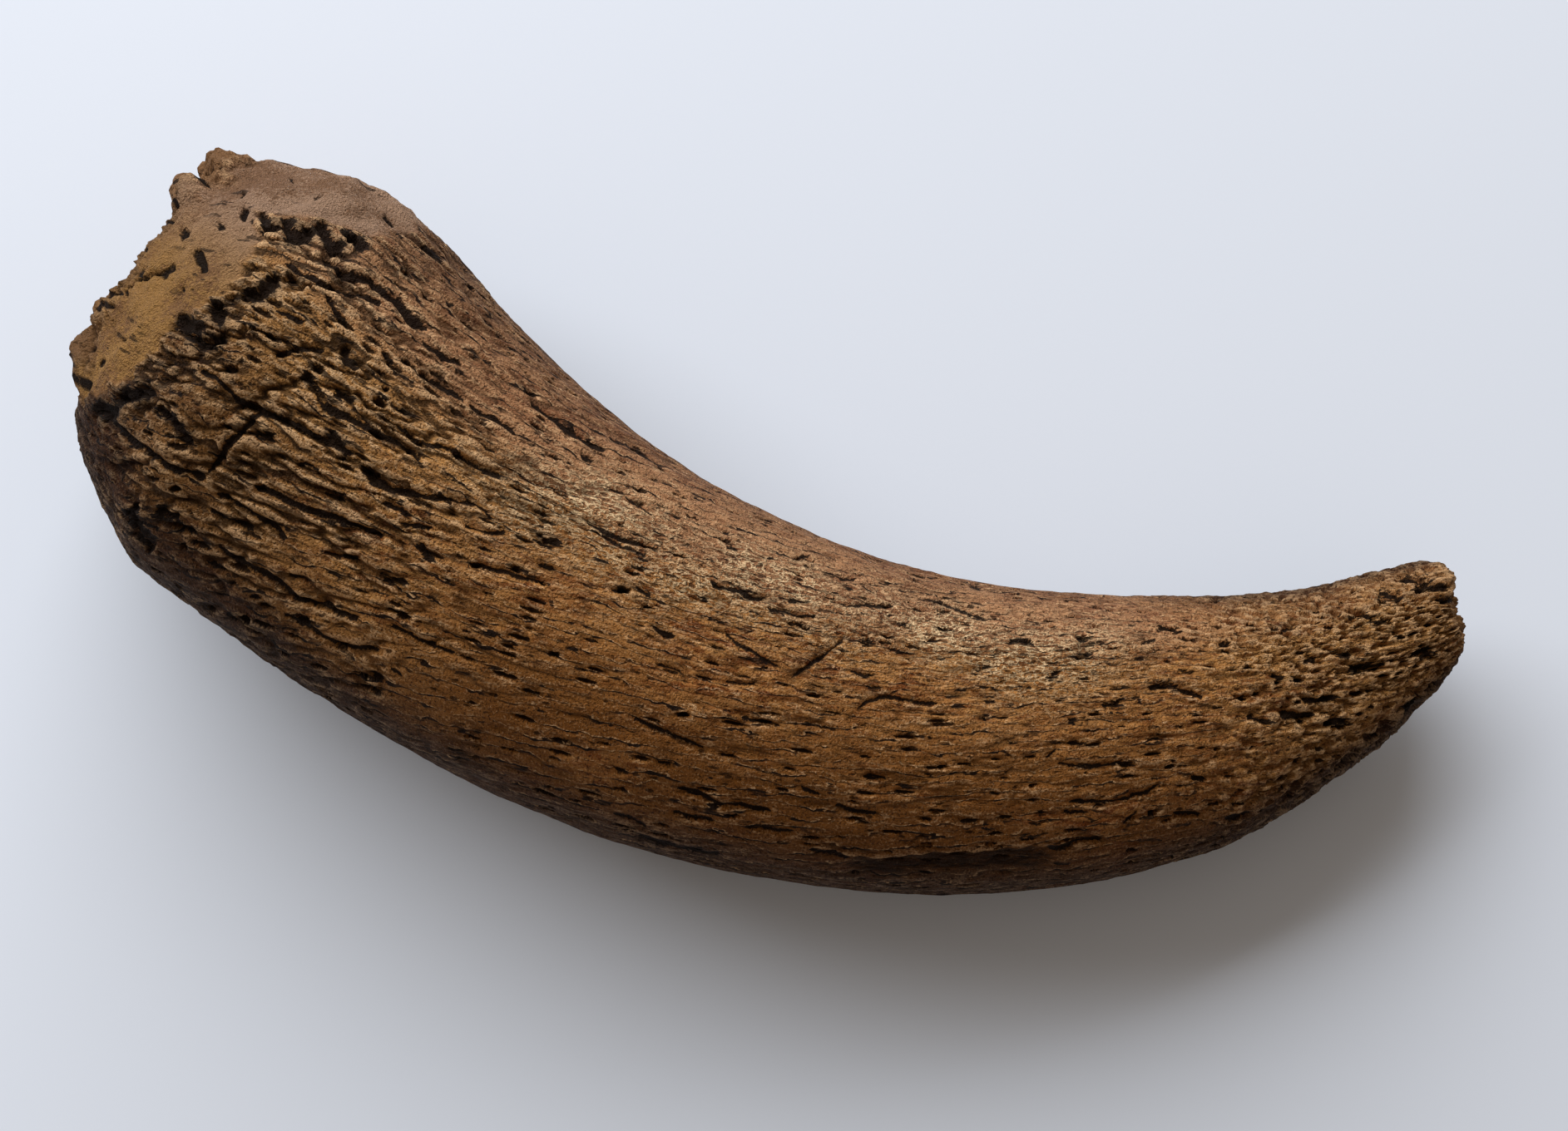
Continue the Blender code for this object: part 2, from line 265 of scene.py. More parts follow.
# Marks of this one core, by their pixels in the frame: half width in pixels, depth in
# millimetres, then the line that the mark follows. A single point is a round pit.
marks = {
    "holes": (  # in the smooth collar
        (11, 2.4, ((293, 256),)), (10, 2.2, ((221, 280),)), (6, 1.2, ((265, 275),)),
        (7, 1.6, ((240, 309), (247, 322))), (4, 0.8, ((291, 235),)), (7, 1.0, ((144, 407),)),
        (3.5, 0.8, ((218, 349),)), (3, 0.6, ((352, 214),)), (3.5, 0.7, ((462, 262), (472, 270))),
        (3.5, 1.6, ((207, 318), (196, 327), (186, 330))), (3, 1.6, ((186, 330), (166, 338), (150, 352))),
        (3.5, 0.8, ((123, 437),)), (3, 0.6, ((303, 268),)), (3, 0.6, ((176, 300),)),
        (3, 0.6, ((232, 352),)), (3.5, 0.8, ((382, 236),)), (3, 0.6, ((168, 392),)),
    ),
    "rim": (  # along the broken edge
        (6, 1.6, ((218, 206), (224, 230))), (5.5, 1.4, ((238, 210), (253, 204), (266, 194))),
        (5, 1.2, ((213, 238), (217, 248))), (4, 1.0, ((243, 224), (252, 228))),
        (4, 0.9, ((262, 178), (274, 183))), (4.5, 1.2, ((284, 198), (296, 194))),
        (5, 1.2, ((110, 368), (122, 380))), (4.5, 1.1, ((130, 356), (144, 351))),
        (4.5, 1.1, ((104, 392), (110, 404))), (5, 1.4, ((98, 420), (101, 440))),
        (4.5, 1.1, ((127, 376), (135, 368))), (4, 0.9, ((168, 329), (178, 322))),
        (5, 1.3, ((102, 454), (110, 466))), (4, 0.9, ((196, 270), (204, 263))),
    ),
    "pits": (  # deep pits where the rough bone begins
        (6.5, 1.4, ((318, 262), (322, 278))), (11, 2.0, ((345, 274), (354, 286), (368, 284))),
        (8, 1.6, ((386, 276), (396, 288), (404, 300))), (5, 1.0, ((418, 282), (440, 296))),
        (9.4, 2.4, ((298, 360), (310, 354), (328, 342))),
        (8.6, 2.1, ((262, 372), (268, 386))), (10.1, 2.3, ((222, 390), (236, 400))),
        (8.6, 1.8, ((246, 412), (262, 410))), (9.4, 1.9, ((150, 478), (178, 468))),
        (8.6, 1.9, ((128, 490), (142, 500))), (6.2, 1.6, ((412, 420), (424, 440))),
        (6.2, 1.5, ((406, 472), (420, 480))), (6.2, 1.5, ((372, 452), (378, 466))),
        (6.2, 1.4, ((200, 494), (214, 508), (232, 528))), (7.0, 1.6, ((397, 523), (406, 532), (419, 546))),
        (5.5, 1.2, ((310, 522), (324, 528))), (6.2, 1.4, ((444, 570), (452, 582))),
        (5.5, 1.2, ((467, 606), (494, 620))), (6.2, 1.4, ((157, 616), (172, 640), (184, 653))),
        (5.5, 1.3, ((192, 614), (214, 619))), (6.2, 1.4, ((206, 630), (228, 638))),
        (4.7, 1.0, ((648, 652), (666, 655))), (4.7, 1.0, ((506, 657), (516, 669))),
        (4.7, 1.0, ((462, 696), (486, 700))),
    ),
    "sockets": (  # half way along
        (3.8, 0.8, ((1038, 775), (1050, 776))), (3.8, 0.8, ((1214, 775), (1234, 780))),
        (3.8, 0.8, ((1171, 811), (1188, 805))), (4.5, 1.0, ((1258, 815), (1275, 809))),
        (3.8, 0.7, ((1295, 793), (1308, 791))), (3.8, 0.8, ((1039, 931), (1058, 936))),
        (3.4, 0.7, ((1289, 863), (1292, 867))), (3.8, 0.8, ((1398, 758), (1412, 762))),
        (4.5, 1.0, ((1384, 827), (1412, 828))), (3.8, 0.8, ((1328, 851), (1346, 854))),
        (3.8, 0.9, ((1381, 889), (1399, 886))), (3.8, 0.7, ((886, 859), (899, 862))),
    ),
    "tip": (
        (12, 2.0, ((1694, 858), (1704, 848))), (7, 1.8, ((1628, 803), (1658, 803))),
        (6, 1.4, ((1501, 863), (1522, 867))), (6, 1.4, ((1598, 867), (1619, 867))),
        (5, 1.0, ((1604, 786), (1619, 785))), (5, 1.0, ((1568, 796), (1582, 795))),
        (5, 1.0, ((1661, 723), (1682, 723))), (5, 1.0, ((1700, 783), (1719, 783))),
        (5, 1.0, ((1690, 705), (1712, 712))), (4, 0.8, ((1640, 742), (1662, 748))),
    ),
}

# Clefts and scratches of this one core: half width in pixels, then the line they follow
clefts = {
    "crust": (  # the forked crack, and the slab's lower edge
        (3.4, ((243, 446), (264, 458), (290, 482), (326, 500), (362, 515), (410, 540))),
        (3.0, ((250, 570), (282, 530), (316, 494))),
        (3.2, ((128, 498), (164, 530), (212, 562), (252, 574))),
    ),
    "base": (  # the ridges, from the collar downwards
        (4.1, ((386, 306), (414, 330), (449, 343), (464, 355), (480, 367), (489, 383), (514, 399))),
        (3.3, ((342, 318), (365, 330), (392, 346), (433, 356), (460, 367))),
        (2.9, ((330, 374), (352, 382), (368, 390))), (2.5, ((389, 355), (405, 378), (420, 392))),
        (3.3, ((330, 427), (358, 421), (392, 418))), (2.6, ((458, 425), (473, 440))),
        (2.5, ((505, 412), (530, 430), (555, 440))), (1.7, ((561, 417), (590, 446))),
        (2.6, ((502, 449), (536, 468), (558, 482))),
        (2.8, ((561, 487), (585, 500), (605, 512), (622, 524))),
        (2.2, ((635, 483), (652, 496), (683, 520), (710, 540), (730, 546))),
        (1.5, ((727, 524), (768, 546), (800, 569))), (1.7, ((467, 305), (480, 318), (498, 342))),
        (2.0, ((503, 298), (524, 310), (532, 318))), (1.5, ((526, 330), (548, 352))),
        (3.4, ((377, 470), (386, 486), (411, 499), (449, 520), (480, 533), (496, 543), (508, 558))),
        (2.2, ((467, 483), (492, 502))), (2.3, ((530, 365), (545, 370))), (1.7, ((575, 380), (594, 396))),
        (3.0, ((474, 508), (490, 520), (505, 533), (542, 540), (561, 552), (580, 567), (605, 574))),
        (3.8, ((440, 568), (449, 580), (480, 590), (505, 596), (549, 602))),
        (2.3, ((579, 536), (600, 546))), (2.5, ((355, 558), (371, 558), (386, 568))),
        (2.0, ((549, 602), (574, 608), (596, 627))),
        (3.3, ((304, 586), (329, 592), (351, 604), (372, 614), (413, 626), (447, 639), (463, 645))),
        (2.5, ((480, 630), (505, 633), (524, 637))), (2.3, ((555, 630), (580, 640), (611, 643))),
        (2.5, ((702, 627), (739, 646), (777, 658))), (2.3, ((642, 677), (671, 689))),
        (2.5, ((574, 680), (602, 686), (630, 696), (658, 699))), (1.8, ((574, 658), (596, 664))),
        (1.5, ((749, 599), (789, 621))), (2.2, ((694, 550), (716, 557))), (2.2, ((730, 590), (752, 597))),
        (3.0, ((260, 592), (291, 608), (310, 620), (335, 636), (347, 648))),
        (1.8, ((251, 611), (279, 626), (307, 639))), (2.3, ((247, 673), (275, 685))),
        (3.0, ((260, 657), (291, 673), (329, 695), (360, 720), (391, 729), (435, 745))),
        (2.5, ((341, 736), (372, 751), (401, 770), (429, 779), (463, 783))),
        (2.5, ((469, 751), (497, 764), (529, 779), (551, 786))), (2.3, ((404, 667), (435, 670))),
        (2.3, ((444, 807), (463, 817))), (2.0, ((469, 798), (488, 814))), (2.3, ((272, 736), (294, 748))),
        (2.2, ((300, 714), (319, 717))), (2.0, ((397, 592), (419, 598))), (2.2, ((345, 690), (372, 697))),
    ),
    "wornLine": (  # half way along, above the worn line and on it
        (1.6, ((720, 641), (742, 655), (779, 670))), (1.7, ((796, 689), (820, 698))),
        (2.4, ((850, 700), (861, 709), (887, 711), (905, 720), (924, 720))),
        (1.4, ((942, 722), (975, 726))), (2.2, ((920, 733), (938, 735), (957, 741), (983, 743))),
        (1.7, ((1005, 698), (1031, 698))), (1.7, ((1050, 700), (1072, 707))),
        (1.3, ((1098, 722), (1124, 724), (1150, 737), (1190, 750))), (1.4, ((1161, 728), (1187, 730))),
        (1.6, ((1161, 707), (1183, 711))), (1.9, ((864, 642), (878, 645))),
        (1.6, ((868, 657), (887, 665))), (1.9, ((805, 621), (820, 626))), (1.3, ((950, 674), (975, 670))),
        (1.6, ((1005, 728), (1027, 730), (1075, 730))), (2.0, ((1109, 770), (1135, 772))),
        (2.0, ((1290, 770), (1309, 772))), (2.0, ((1367, 775), (1393, 771))),
        (2.2, ((783, 755), (801, 763), (816, 770))), (1.7, ((761, 707), (787, 722))),
        (1.9, ((731, 711), (750, 715))),
        (1.9, ((868, 759), (887, 778), (905, 785), (920, 796), (942, 804))),
        (1.9, ((950, 815), (979, 796), (1016, 767))), (1.4, ((787, 800), (805, 801), (824, 815))),
        (1.4, ((868, 818), (883, 822), (912, 822))), (1.4, ((1016, 809), (1050, 813))),
    ),
    "lowerSide": (
        (1.9, ((1027, 855), (1042, 843), (1064, 839), (1090, 843), (1131, 848))),
        (1.9, ((1179, 844), (1201, 846))), (1.7, ((887, 862), (914, 867), (942, 874))),
        (2.2, ((761, 863), (783, 874), (805, 881), (850, 902))), (1.7, ((809, 859), (831, 861))),
        (2.0, ((787, 915), (812, 917))), (2.0, ((735, 921), (757, 926))),
        (2.2, ((813, 946), (842, 954), (864, 965), (898, 967), (927, 972))),
        (1.6, ((961, 946), (990, 956))), (2.0, ((898, 991), (927, 994), (957, 1000))),
        (1.9, ((1002, 966), (1027, 976), (1057, 978))), (2.2, ((735, 976), (757, 981), (779, 993))),
        (2.2, ((764, 1002), (794, 1011), (850, 1022), (868, 1026))),
        (2.0, ((805, 974), (835, 980), (861, 983))), (2.0, ((972, 1019), (1001, 1024), (1027, 1031))),
        (1.7, ((1112, 935), (1124, 931))), (2.0, ((1201, 931), (1216, 926))),
        (1.3, ((1253, 911), (1275, 896))), (1.7, ((1294, 920), (1327, 918))),
        (1.9, ((1279, 893), (1305, 894))), (1.9, ((1175, 865), (1190, 865))),
        (1.9, ((1242, 976), (1257, 974))), (1.9, ((1276, 976), (1313, 975))),
        (1.7, ((1283, 962), (1337, 962), (1350, 960), (1377, 953), (1393, 943))),
        (2.3, ((1253, 1020), (1275, 1018), (1298, 1009), (1325, 1006))),
        (1.7, ((1270, 917), (1307, 923), (1337, 917), (1350, 913))), (2.0, ((1347, 990), (1367, 972))),
    ),
    "tip": (
        (2.8, ((1407, 978), (1443, 978))), (3.2, ((1470, 983), (1503, 977))),
        (2.4, ((1427, 933), (1450, 938))), (4.0, ((1413, 828), (1430, 833), (1447, 840))),
        (4.4, ((1537, 860), (1580, 860))), (2.8, ((1563, 843), (1610, 840))),
        (2.8, ((1523, 813), (1543, 817))), (2.8, ((1463, 777), (1480, 775))),
        (2.8, ((1537, 760), (1557, 757))), (2.8, ((1680, 703), (1697, 703))),
        (2.6, ((1723, 723), (1747, 722))), (2.4, ((1707, 710), (1737, 713))),
    ),
}

# How the marks and the clefts are cut, and painted dark as the shade inside them
marking = {
    "dug": 0.55,  # share of a mark's depth that the relief takes
    "dark": 0.75,  # share of a mark's width that is painted dark, as the shade inside it
    # pitDark: the same share for the pits, painted dark up to their rims as the shade on their walls
    "pitDark": 1.0,
    "pitStains": 1.5,  # millimetres of depth from which a pit darkens the bone around it
    "gloom": 0.75,  # how dark that is
    "outside": -20.0,  # pixels inside a mark, where there is none
    "cleftDug": 0.22,  # millimetres for each pixel of a cleft's half width
    "cleftApart": 22,  # pixels between clefts that share an attribute
    "cleftReach": 11,  # pixels to either side that a cleft is written to
    "cleftAway": 40.0,  # pixels off a cleft, where there is none
    "cleftShut": -12.0,  # and its half width there
}


def softNoise(x, y, cell, seed):  # smooth random values from -1 to 1 over the frame
    rows, columns = int(camera["height"] / cell) + 3, int(camera["width"] / cell) + 3
    grid = np.random.default_rng(seed).uniform(-1, 1, (rows, columns))
    x = np.clip(x / cell, 0, columns - 2.001)
    y = np.clip(y / cell, 0, rows - 2.001)
    column, row = x.astype(int), y.astype(int)
    x, y = softStep(x - column, 0, 1), softStep(y - row, 0, 1)
    upper = grid[row, column] * (1 - x) + grid[row, column + 1] * x
    lower = grid[row + 1, column] * (1 - x) + grid[row + 1, column + 1] * x
    return upper * (1 - y) + lower * y


def markDepth(points, facing):  # depth of the marks, pixels inside the nearest, and its shade
    x, y = points.T
    ragged = points + np.column_stack((
        4 * softNoise(x, y, 13, 1) + 2 * softNoise(x, y, 6, 2),
        4 * softNoise(x, y, 13, 3) + 2 * softNoise(x, y, 6, 4),
    ))
    depth = np.zeros(len(points))
    inside = np.full(len(points), marking["outside"])
    stained = np.zeros(len(points))
    seen = softStep(facing, 0.02, 0.2)
    for name, group in marks.items():
        dark = marking["pitDark" if name == "pits" else "dark"]
        for halfWidth, deep, line in group:
            nearest = np.full(len(points), np.inf)
            for start, end in zip(line, line[1:] or line):
                start = np.array(start, float)
                run = np.array(end, float) - start
                share = np.clip((ragged - start) @ run / max(run @ run, 1e-6), 0, 1)
                gap = ragged - start - share[:, None] * run
                nearest = np.minimum(nearest, np.einsum("ij,ij->i", gap, gap))
            gap = np.sqrt(nearest)
            floor = 1 - softStep(gap, 0.45 * halfWidth, 1.05 * halfWidth)
            depth += seen * marking["dug"] * deep * floor
            inside = np.maximum(inside, dark * halfWidth - gap)
            if name == "pits" and deep > marking["pitStains"]:
                around = 1 - softStep(gap, halfWidth, 2.6 * halfWidth)
                stained = np.maximum(stained, seen * around)
    return depth, np.where(facing > 0.03, inside, marking["outside"]), stained


def gapBetween(path, other):  # least distance between two rows of points
    away = path[:, None] - other[None]
    return np.hypot(away[..., 0], away[..., 1]).min()


def cleftLayers():  # clefts sorted into layers, so that none lies close to one of its own
    layers = []
    for halfWidth, line in (cleft for group in clefts.values() for cleft in group):
        line = np.array(line, float)
        along = np.arange(line[0, 0], line[-1, 0] + 1)
        path = np.column_stack((along, np.interp(along, line[:, 0], line[:, 1])))
        for layer in layers:
            if min(gapBetween(path, other) for _, _, other in layer) > marking["cleftApart"]:
                layer.append((halfWidth, line, path))
                break
        else:
            layers.append([(halfWidth, line, path)])
    return layers


def cleftPlace(points, facing, layer):  # pixels off the nearest cleft, its half width, its depth
    x, y = points.T
    wave = 1.8 * softNoise(x, y, 17, 5) + 1.0 * softNoise(x, y, 8, 6)
    uneven = 1 + 0.65 * softNoise(x, y, 11, 7)
    reach, shut = marking["cleftReach"], marking["cleftShut"]
    off = np.full(len(x), marking["cleftAway"])
    wide = np.full(len(x), shut)
    deep = np.zeros(len(x))
    seen = softStep(facing, 0.02, 0.1)
    for halfWidth, line, _ in layer:
        slope = np.gradient(line[:, 1], line[:, 0])
        lean = np.cos(np.arctan(np.interp(x, line[:, 0], slope)))
        gap = (y - np.interp(x, line[:, 0], line[:, 1])) * lean + wave
        ends = softStep(x, line[0, 0] - 3, line[0, 0] + 7)
        ends = ends * softStep(x, line[-1, 0] + 3, line[-1, 0] - 7)
        near = (np.abs(gap) < reach) & (ends > 0)
        edge = softStep(np.abs(gap), reach - 3, reach) + 1 - softStep(ends, 0, 0.15)
        off[near] = gap[near]
        wide[near] = (halfWidth * uneven * ends + shut * edge)[near]
        sides = 1 - softStep(np.abs(gap), 1.5, halfWidth + 3.5)
        deep += seen * marking["cleftDug"] * halfWidth * ends * sides
    return np.column_stack((off, np.where(seen > 0.5, wide, shut), np.zeros(len(off)))), deep


def trenchDepth(along, angle, radius):
    line = np.array(trench["lip"], float)
    lip = np.interp(along, line[:, 0], line[:, 1]) + 0.6 * np.sin(0.6 * along) + 0.4 * np.sin(1.9 * along)
    gap = (np.radians(lip) - angle) * radius
    ends = softStep(along, line[0, 0] - 2, line[0, 0] + 4)
    ends = ends * softStep(along, line[-1, 0] + 2, line[-1, 0] - 4)
    depth = trench["depth"] * ends * softStep(gap, -0.3, 0.9)
    return depth * (1 - softStep(gap, 0.4 * trench["reach"], trench["reach"]))


def lumpHeight(along, share, angle, radius):
    arc = (math.pi / 2 - angle) * radius * share
    arc = np.where(angle < -math.pi / 2, arc - 2 * math.pi * radius * share, arc)
    height = np.zeros(len(along))
    for where, across, size, high in lumps:
        gap = np.hypot(along - where, arc - across)
        height += high * softStep(share, 0.75, 1.0) * (1 - softStep(gap, 0.2 * size, 1.3 * size))
    return height


def notchDepth(along, angle, radius):
    depth = np.zeros(len(along))
    for where, turn, size, deep in notches:
        away = (angle - math.radians(turn) + math.pi) % (2 * math.pi) - math.pi
        gap = np.hypot(along - where, away * radius)
        depth += deep * (1 - softStep(gap, 0.3 * size, 1.2 * size))
    return depth


# Zones of the surface, each from 0 to 1. Distances run along the core in millimetres, and
# degrees run round it as in collarEdge.

def zones(along, share, angle):
    degrees = np.degrees(angle)
    degrees = np.where(degrees < -90, degrees + 360, degrees)
    rows = np.array(core["collarEdge"], float)
    edge = np.interp(degrees, rows[:, 0], rows[:, 1])
    edge = edge + 0.8 * np.sin(0.47 * degrees) + 0.6 * np.sin(1.07 * degrees + 1)
    upper = np.exp(-(((degrees - 100) / 55) ** 2))
    tip = softStep(along, 188, 222)
    outerSide = np.exp(-(((degrees - 45) / 42) ** 2))
    innerSide = softStep(degrees, 95, 125) * softStep(degrees, 268, 240)
    below = softStep(np.sin(angle), 0.60 - 0.25 * innerSide, 0.2 - 0.15 * innerSide)
    low = softStep(np.sin(angle), 0.85, 0.3) * (1 - 0.55 * innerSide * (1 - tip))
    innerEdge = softStep(degrees, 125, 155) * softStep(degrees, 235, 200)
    wornLine = np.interp(along, (60, 90, 120, 150, 173, 200), (102, 110, 114, 118, 111, 112))
    wornLine = wornLine + 3 * np.sin(0.21 * along) + 2 * np.sin(0.47 * along + 1)
    crumbling = np.clip(1.3 * (nearAngle(angle, 148, 36) + nearAngle(angle, 24, 52)), 0.12, 1)
    crumbling = crumbling * (1 - softStep(along, 3.0, 8.0 + 2.0 * np.sin(0.35 * degrees)))
    return {
        "collar": (1 - softStep(along, edge - 1.0, edge + 1.0)) * (1 - 0.9 * crumbling),
        "burr": softStep(along, edge - 1, edge + 1.5) * (1 - softStep(along, edge + 10, edge + 27))
        * (1 - 0.65 * softStep(degrees, 92, 112))
        + 0.3 * (1 - softStep(along, 1.5, 6)),
        "deep": (1 - 0.5 * softStep(degrees, 104, 128) * softStep(along, 36, 56)) * np.clip(
            0.25
            + 0.75 * (1 - softStep(along, 52, 105)) * (0.35 + 0.65 * upper)
            - 0.15 * outerSide * softStep(along, 75, 110) * (1 - tip),
            0.1, 1,
        ) * (1 - 0.5 * innerEdge * softStep(along, 50, 75)),
        "tip": tip,
        "worn": np.exp(-(((degrees - wornLine) / 16) ** 2))
        * softStep(along, 66, 96) * (1 - softStep(along, 176, 205)),
        "warm": outerSide * softStep(along, 62, 105) * (1 - softStep(along, 186, 222)),
        # low: down the sides, where shade is painted and painted highlights are fewer
        "low": np.clip(
            low * (1 + 0.35 * (1 - softStep(along, 60, 100)))
            + 0.62 * softStep(degrees, 98, 68) * (1 - softStep(along, 48, 78)), 0, 1.3,
        ),
        "inner": softStep(degrees, 102, 122) * softStep(degrees, 268, 236) * (1 - 0.6 * tip),
        # grey: low on the side towards the paper, where a painted grey sheen stands for light glancing off
        # the paper
        "grey": np.maximum(below, 0.2 * innerEdge * softStep(along, 20, 45)),
        "ochre": 1 - softStep(degrees, 85, 125) * softStep(degrees, 268, 225),
        "spongy": np.maximum(crumbling, 1 - softStep(share, 0.90, 1.0) * softStep(along, 0.5, 2.5)),
    }


# Node helpers, for geometry and material trees alike

def put(tree, kind, **settings):
    made = tree.nodes.new(kind)
    for name, value in settings.items():
        setattr(made, name, value)
    return made


def feed(tree, socket, value):
    if isinstance(value, bpy.types.NodeSocket):
        tree.links.new(value, socket)
    else:
        socket.default_value = value


def calc(tree, operation, *values, clamp=False):
    made = put(tree, "ShaderNodeMath", operation=operation, use_clamp=clamp)
    for socket, value in zip(made.inputs, values):
        feed(tree, socket, value)
    return made.outputs[0]


def total(tree, *terms):  # a sum, where the members of a tuple are multiplied first
    values = [product(tree, *term) if isinstance(term, tuple) else term for term in terms]
    result = values[0]
    for value in values[1:]:
        result = calc(tree, "ADD", result, value)
    return result


def product(tree, *values):
    result = values[0]
    for value in values[1:]:
        result = calc(tree, "MULTIPLY", result, value)
    return result


def aim(tree, operation, *values):
    made = put(tree, "ShaderNodeVectorMath", operation=operation)
    for socket, value in zip(made.inputs, values):
        feed(tree, socket, value)
    return made.outputs[0]


def rise(tree, value, start, end, low=0.0, high=1.0):  # soft step from low to high
    made = put(tree, "ShaderNodeMapRange", interpolation_type="SMOOTHSTEP")
    for name, given in zip(("Value", "From Min", "From Max", "To Min", "To Max"),
                           (value, start, end, low, high)):
        feed(tree, made.inputs[name], given)
    return made.outputs["Result"]


def noise(tree, place, scale, detail, roughness, colour=False):
    made = put(tree, "ShaderNodeTexNoise", noise_dimensions="3D", normalize=True)
    feed(tree, made.inputs["Vector"], place)
    feed(tree, made.inputs["Scale"], scale)
    feed(tree, made.inputs["Detail"], detail)
    feed(tree, made.inputs["Roughness"], roughness)
    return made.outputs["Color" if colour else "Fac"]


def centred(tree, value):
    return calc(tree, "SUBTRACT", value, 0.5)


def most(tree, first, second):
    return calc(tree, "MAXIMUM", first, second)


def parted(tree, vector):
    made = put(tree, "ShaderNodeSeparateXYZ")
    tree.links.new(vector, made.inputs[0])
    return made.outputs


def cells(tree, place, size=1.0, feature="F1"):  # distance to a cell's middle, and its colour
    made = put(tree, "ShaderNodeTexVoronoi", voronoi_dimensions="3D", feature=feature)
    feed(tree, made.inputs["Vector"], place)
    feed(tree, made.inputs["Scale"], 1 / size)
    return made.outputs["Distance"], made.outputs["Color"]


def stretched(tree, place, rule, wide=(1.0, 1.0), extra=0.0):  # a place in a pattern's own units
    length, width = rule["length"] * wide[0], rule["width"] * wide[1]
    shift = rule.get("shift", 0.0) + extra
    return aim(tree, "MULTIPLY_ADD", place, (1 / length, 1 / width, 1 / width), (shift,) * 3)


def streaky(tree, grain, rule, detail=3.0, roughness=0.65, **other):  # noise along the grain
    return noise(tree, stretched(tree, grain, rule, **other), 1.0, detail, roughness)


# Patterns of the bone, used by the relief and again by the colour. They lie on the grain's own
# coordinates, so lengths run along the grain and widths across it, in millimetres. A depth or
# height is the relief in millimetres where the pattern is strongest.
bone = {
    "drift": {"length": 22.0, "width": 9.0, "reach": (3.0, 1.3, 1.3)},
    "clouds": {"length": 24.0, "width": 11.0, "shift": 6.0},
    "cave": {"length": 5.0, "width": 2.8, "size": 0.42, "shift": 3.1, "depth": 1.2},
    "pore": {"length": 5.4, "width": 1.25, "size": 0.43, "shift": 11.4, "depth": 0.8},
    "pinhole": {"length": 2.4, "width": 0.95, "size": 0.40, "shift": 7.7, "depth": 0.2},
    "flake": {"length": 21.0, "width": 10.0, "count": 26, "wander": 2.6, "shift": 4.0, "depth": 0.5},
    "slate": {"length": 10.0, "width": 5.6, "count": 48, "wander": 2.2, "shift": 14.2, "depth": 0.25},
    "scale": {"length": 6.5, "width": 2.4, "count": 88, "wander": 2.6, "shift": 37.0},
    "furrow": {"length": 3.8, "width": 2.4, "floor": 0.38, "top": 0.50, "shift": 21.0, "depth": 1.3},
    "crevice": {"length": 15.0, "width": 4.6, "thin": 0.045, "shift": 1.3, "depth": 1.0},
    "split": {"length": 12.0, "width": 2.0, "thin": 0.05, "shift": 5.9, "depth": 0.35},
    "dent": {"length": 12.0, "width": 4.6, "shift": 41.0, "height": 0.48},
    "fibre": {"length": 6.0, "width": 1.1, "shift": 2.2},
    "fleck": {"length": 2.0, "width": 0.75, "shift": 2.0},
    "chip": {"length": 2.4, "width": 0.95, "shift": 31.0},
    "wrinkle": {"length": 2.2, "width": 1.15, "shift": 17.0},
    "slit": {"length": 3.6, "width": 0.95, "shift": 26.0},
    "knob": {"size": 2.8, "height": 0.8},
    "crumb": {"size": 1.6, "height": 0.8},
    "sponge": {"size": 1.8, "depth": 1.6},
    "swell": {"size": 6.25, "height": 1.5},
}


def drifted(tree, grain):  # the grain wanders a little
    rule = bone["drift"]
    wander = noise(tree, stretched(tree, grain, rule), 1.0, 2.0, 0.5, True)
    away = aim(tree, "SUBTRACT", wander, (0.5, 0.5, 0.5))
    return aim(tree, "MULTIPLY_ADD", away, rule["reach"], grain)


def pits(tree, grain, rule, amount, ragged):  # lens-shaped holes along the grain
    distance, chance = cells(tree, stretched(tree, grain, rule))
    chosen = calc(tree, "SUBTRACT", total(tree, parted(tree, chance)[0], amount), 1.0, clamp=True)
    reach = product(tree, calc(tree, "POWER", chosen, 0.4), rule["size"])
    return rise(tree, total(tree, distance, ragged), reach, product(tree, reach, 0.75))


def terraces(tree, grain, rule):  # flat-topped ridges, 1 on a furrow's floor
    return rise(tree, streaky(tree, grain, rule, 3.0, 0.55), rule["top"], rule["floor"])


def lines(tree, grain, rule, amount):  # branching clefts along the grain
    level = calc(tree, "ABSOLUTE", centred(tree, streaky(tree, grain, rule, 3.0, 0.5)))
    patch = streaky(tree, grain, rule, 1.0, 0.5, wide=(1.0, 1.5), extra=9)
    shown = rise(tree, total(tree, patch, (amount, 0.3)), 0.50, 0.72)
    return product(tree, rise(tree, level, rule["thin"], 0.0), shown)


def flakes(tree, grain, rule, amount):  # 0 on a flake's edge, 1 in the gap just below it
    split = parted(tree, grain)
    turn = calc(tree, "ARCTAN2", split[2], split[1])
    wander = streaky(tree, grain, rule, 3.0, 0.55)
    phase = total(tree, (turn, rule["count"] / (2 * math.pi)), (wander, rule["wander"]))
    patch = streaky(tree, grain, rule, 2.0, 0.5, wide=(0.8, 1.0), extra=9)
    shown = rise(tree, total(tree, patch, (amount, 0.26)), 0.56, 0.70)
    return calc(tree, "FRACT", phase), shown


def chips(tree, grain, rule):  # splinters of the surface, each with a height of its own
    distance, chance = cells(tree, stretched(tree, grain, rule))
    split = parted(tree, chance)
    return total(tree, split[1], (distance, -0.8)), split[2]


def soundBone(tree, skin):  # 1 on the porous bone, 0 on the collar and on the break
    return calc(tree, "SUBTRACT", 1.0, most(tree, skin.collar, skin.spongy), clamp=True)


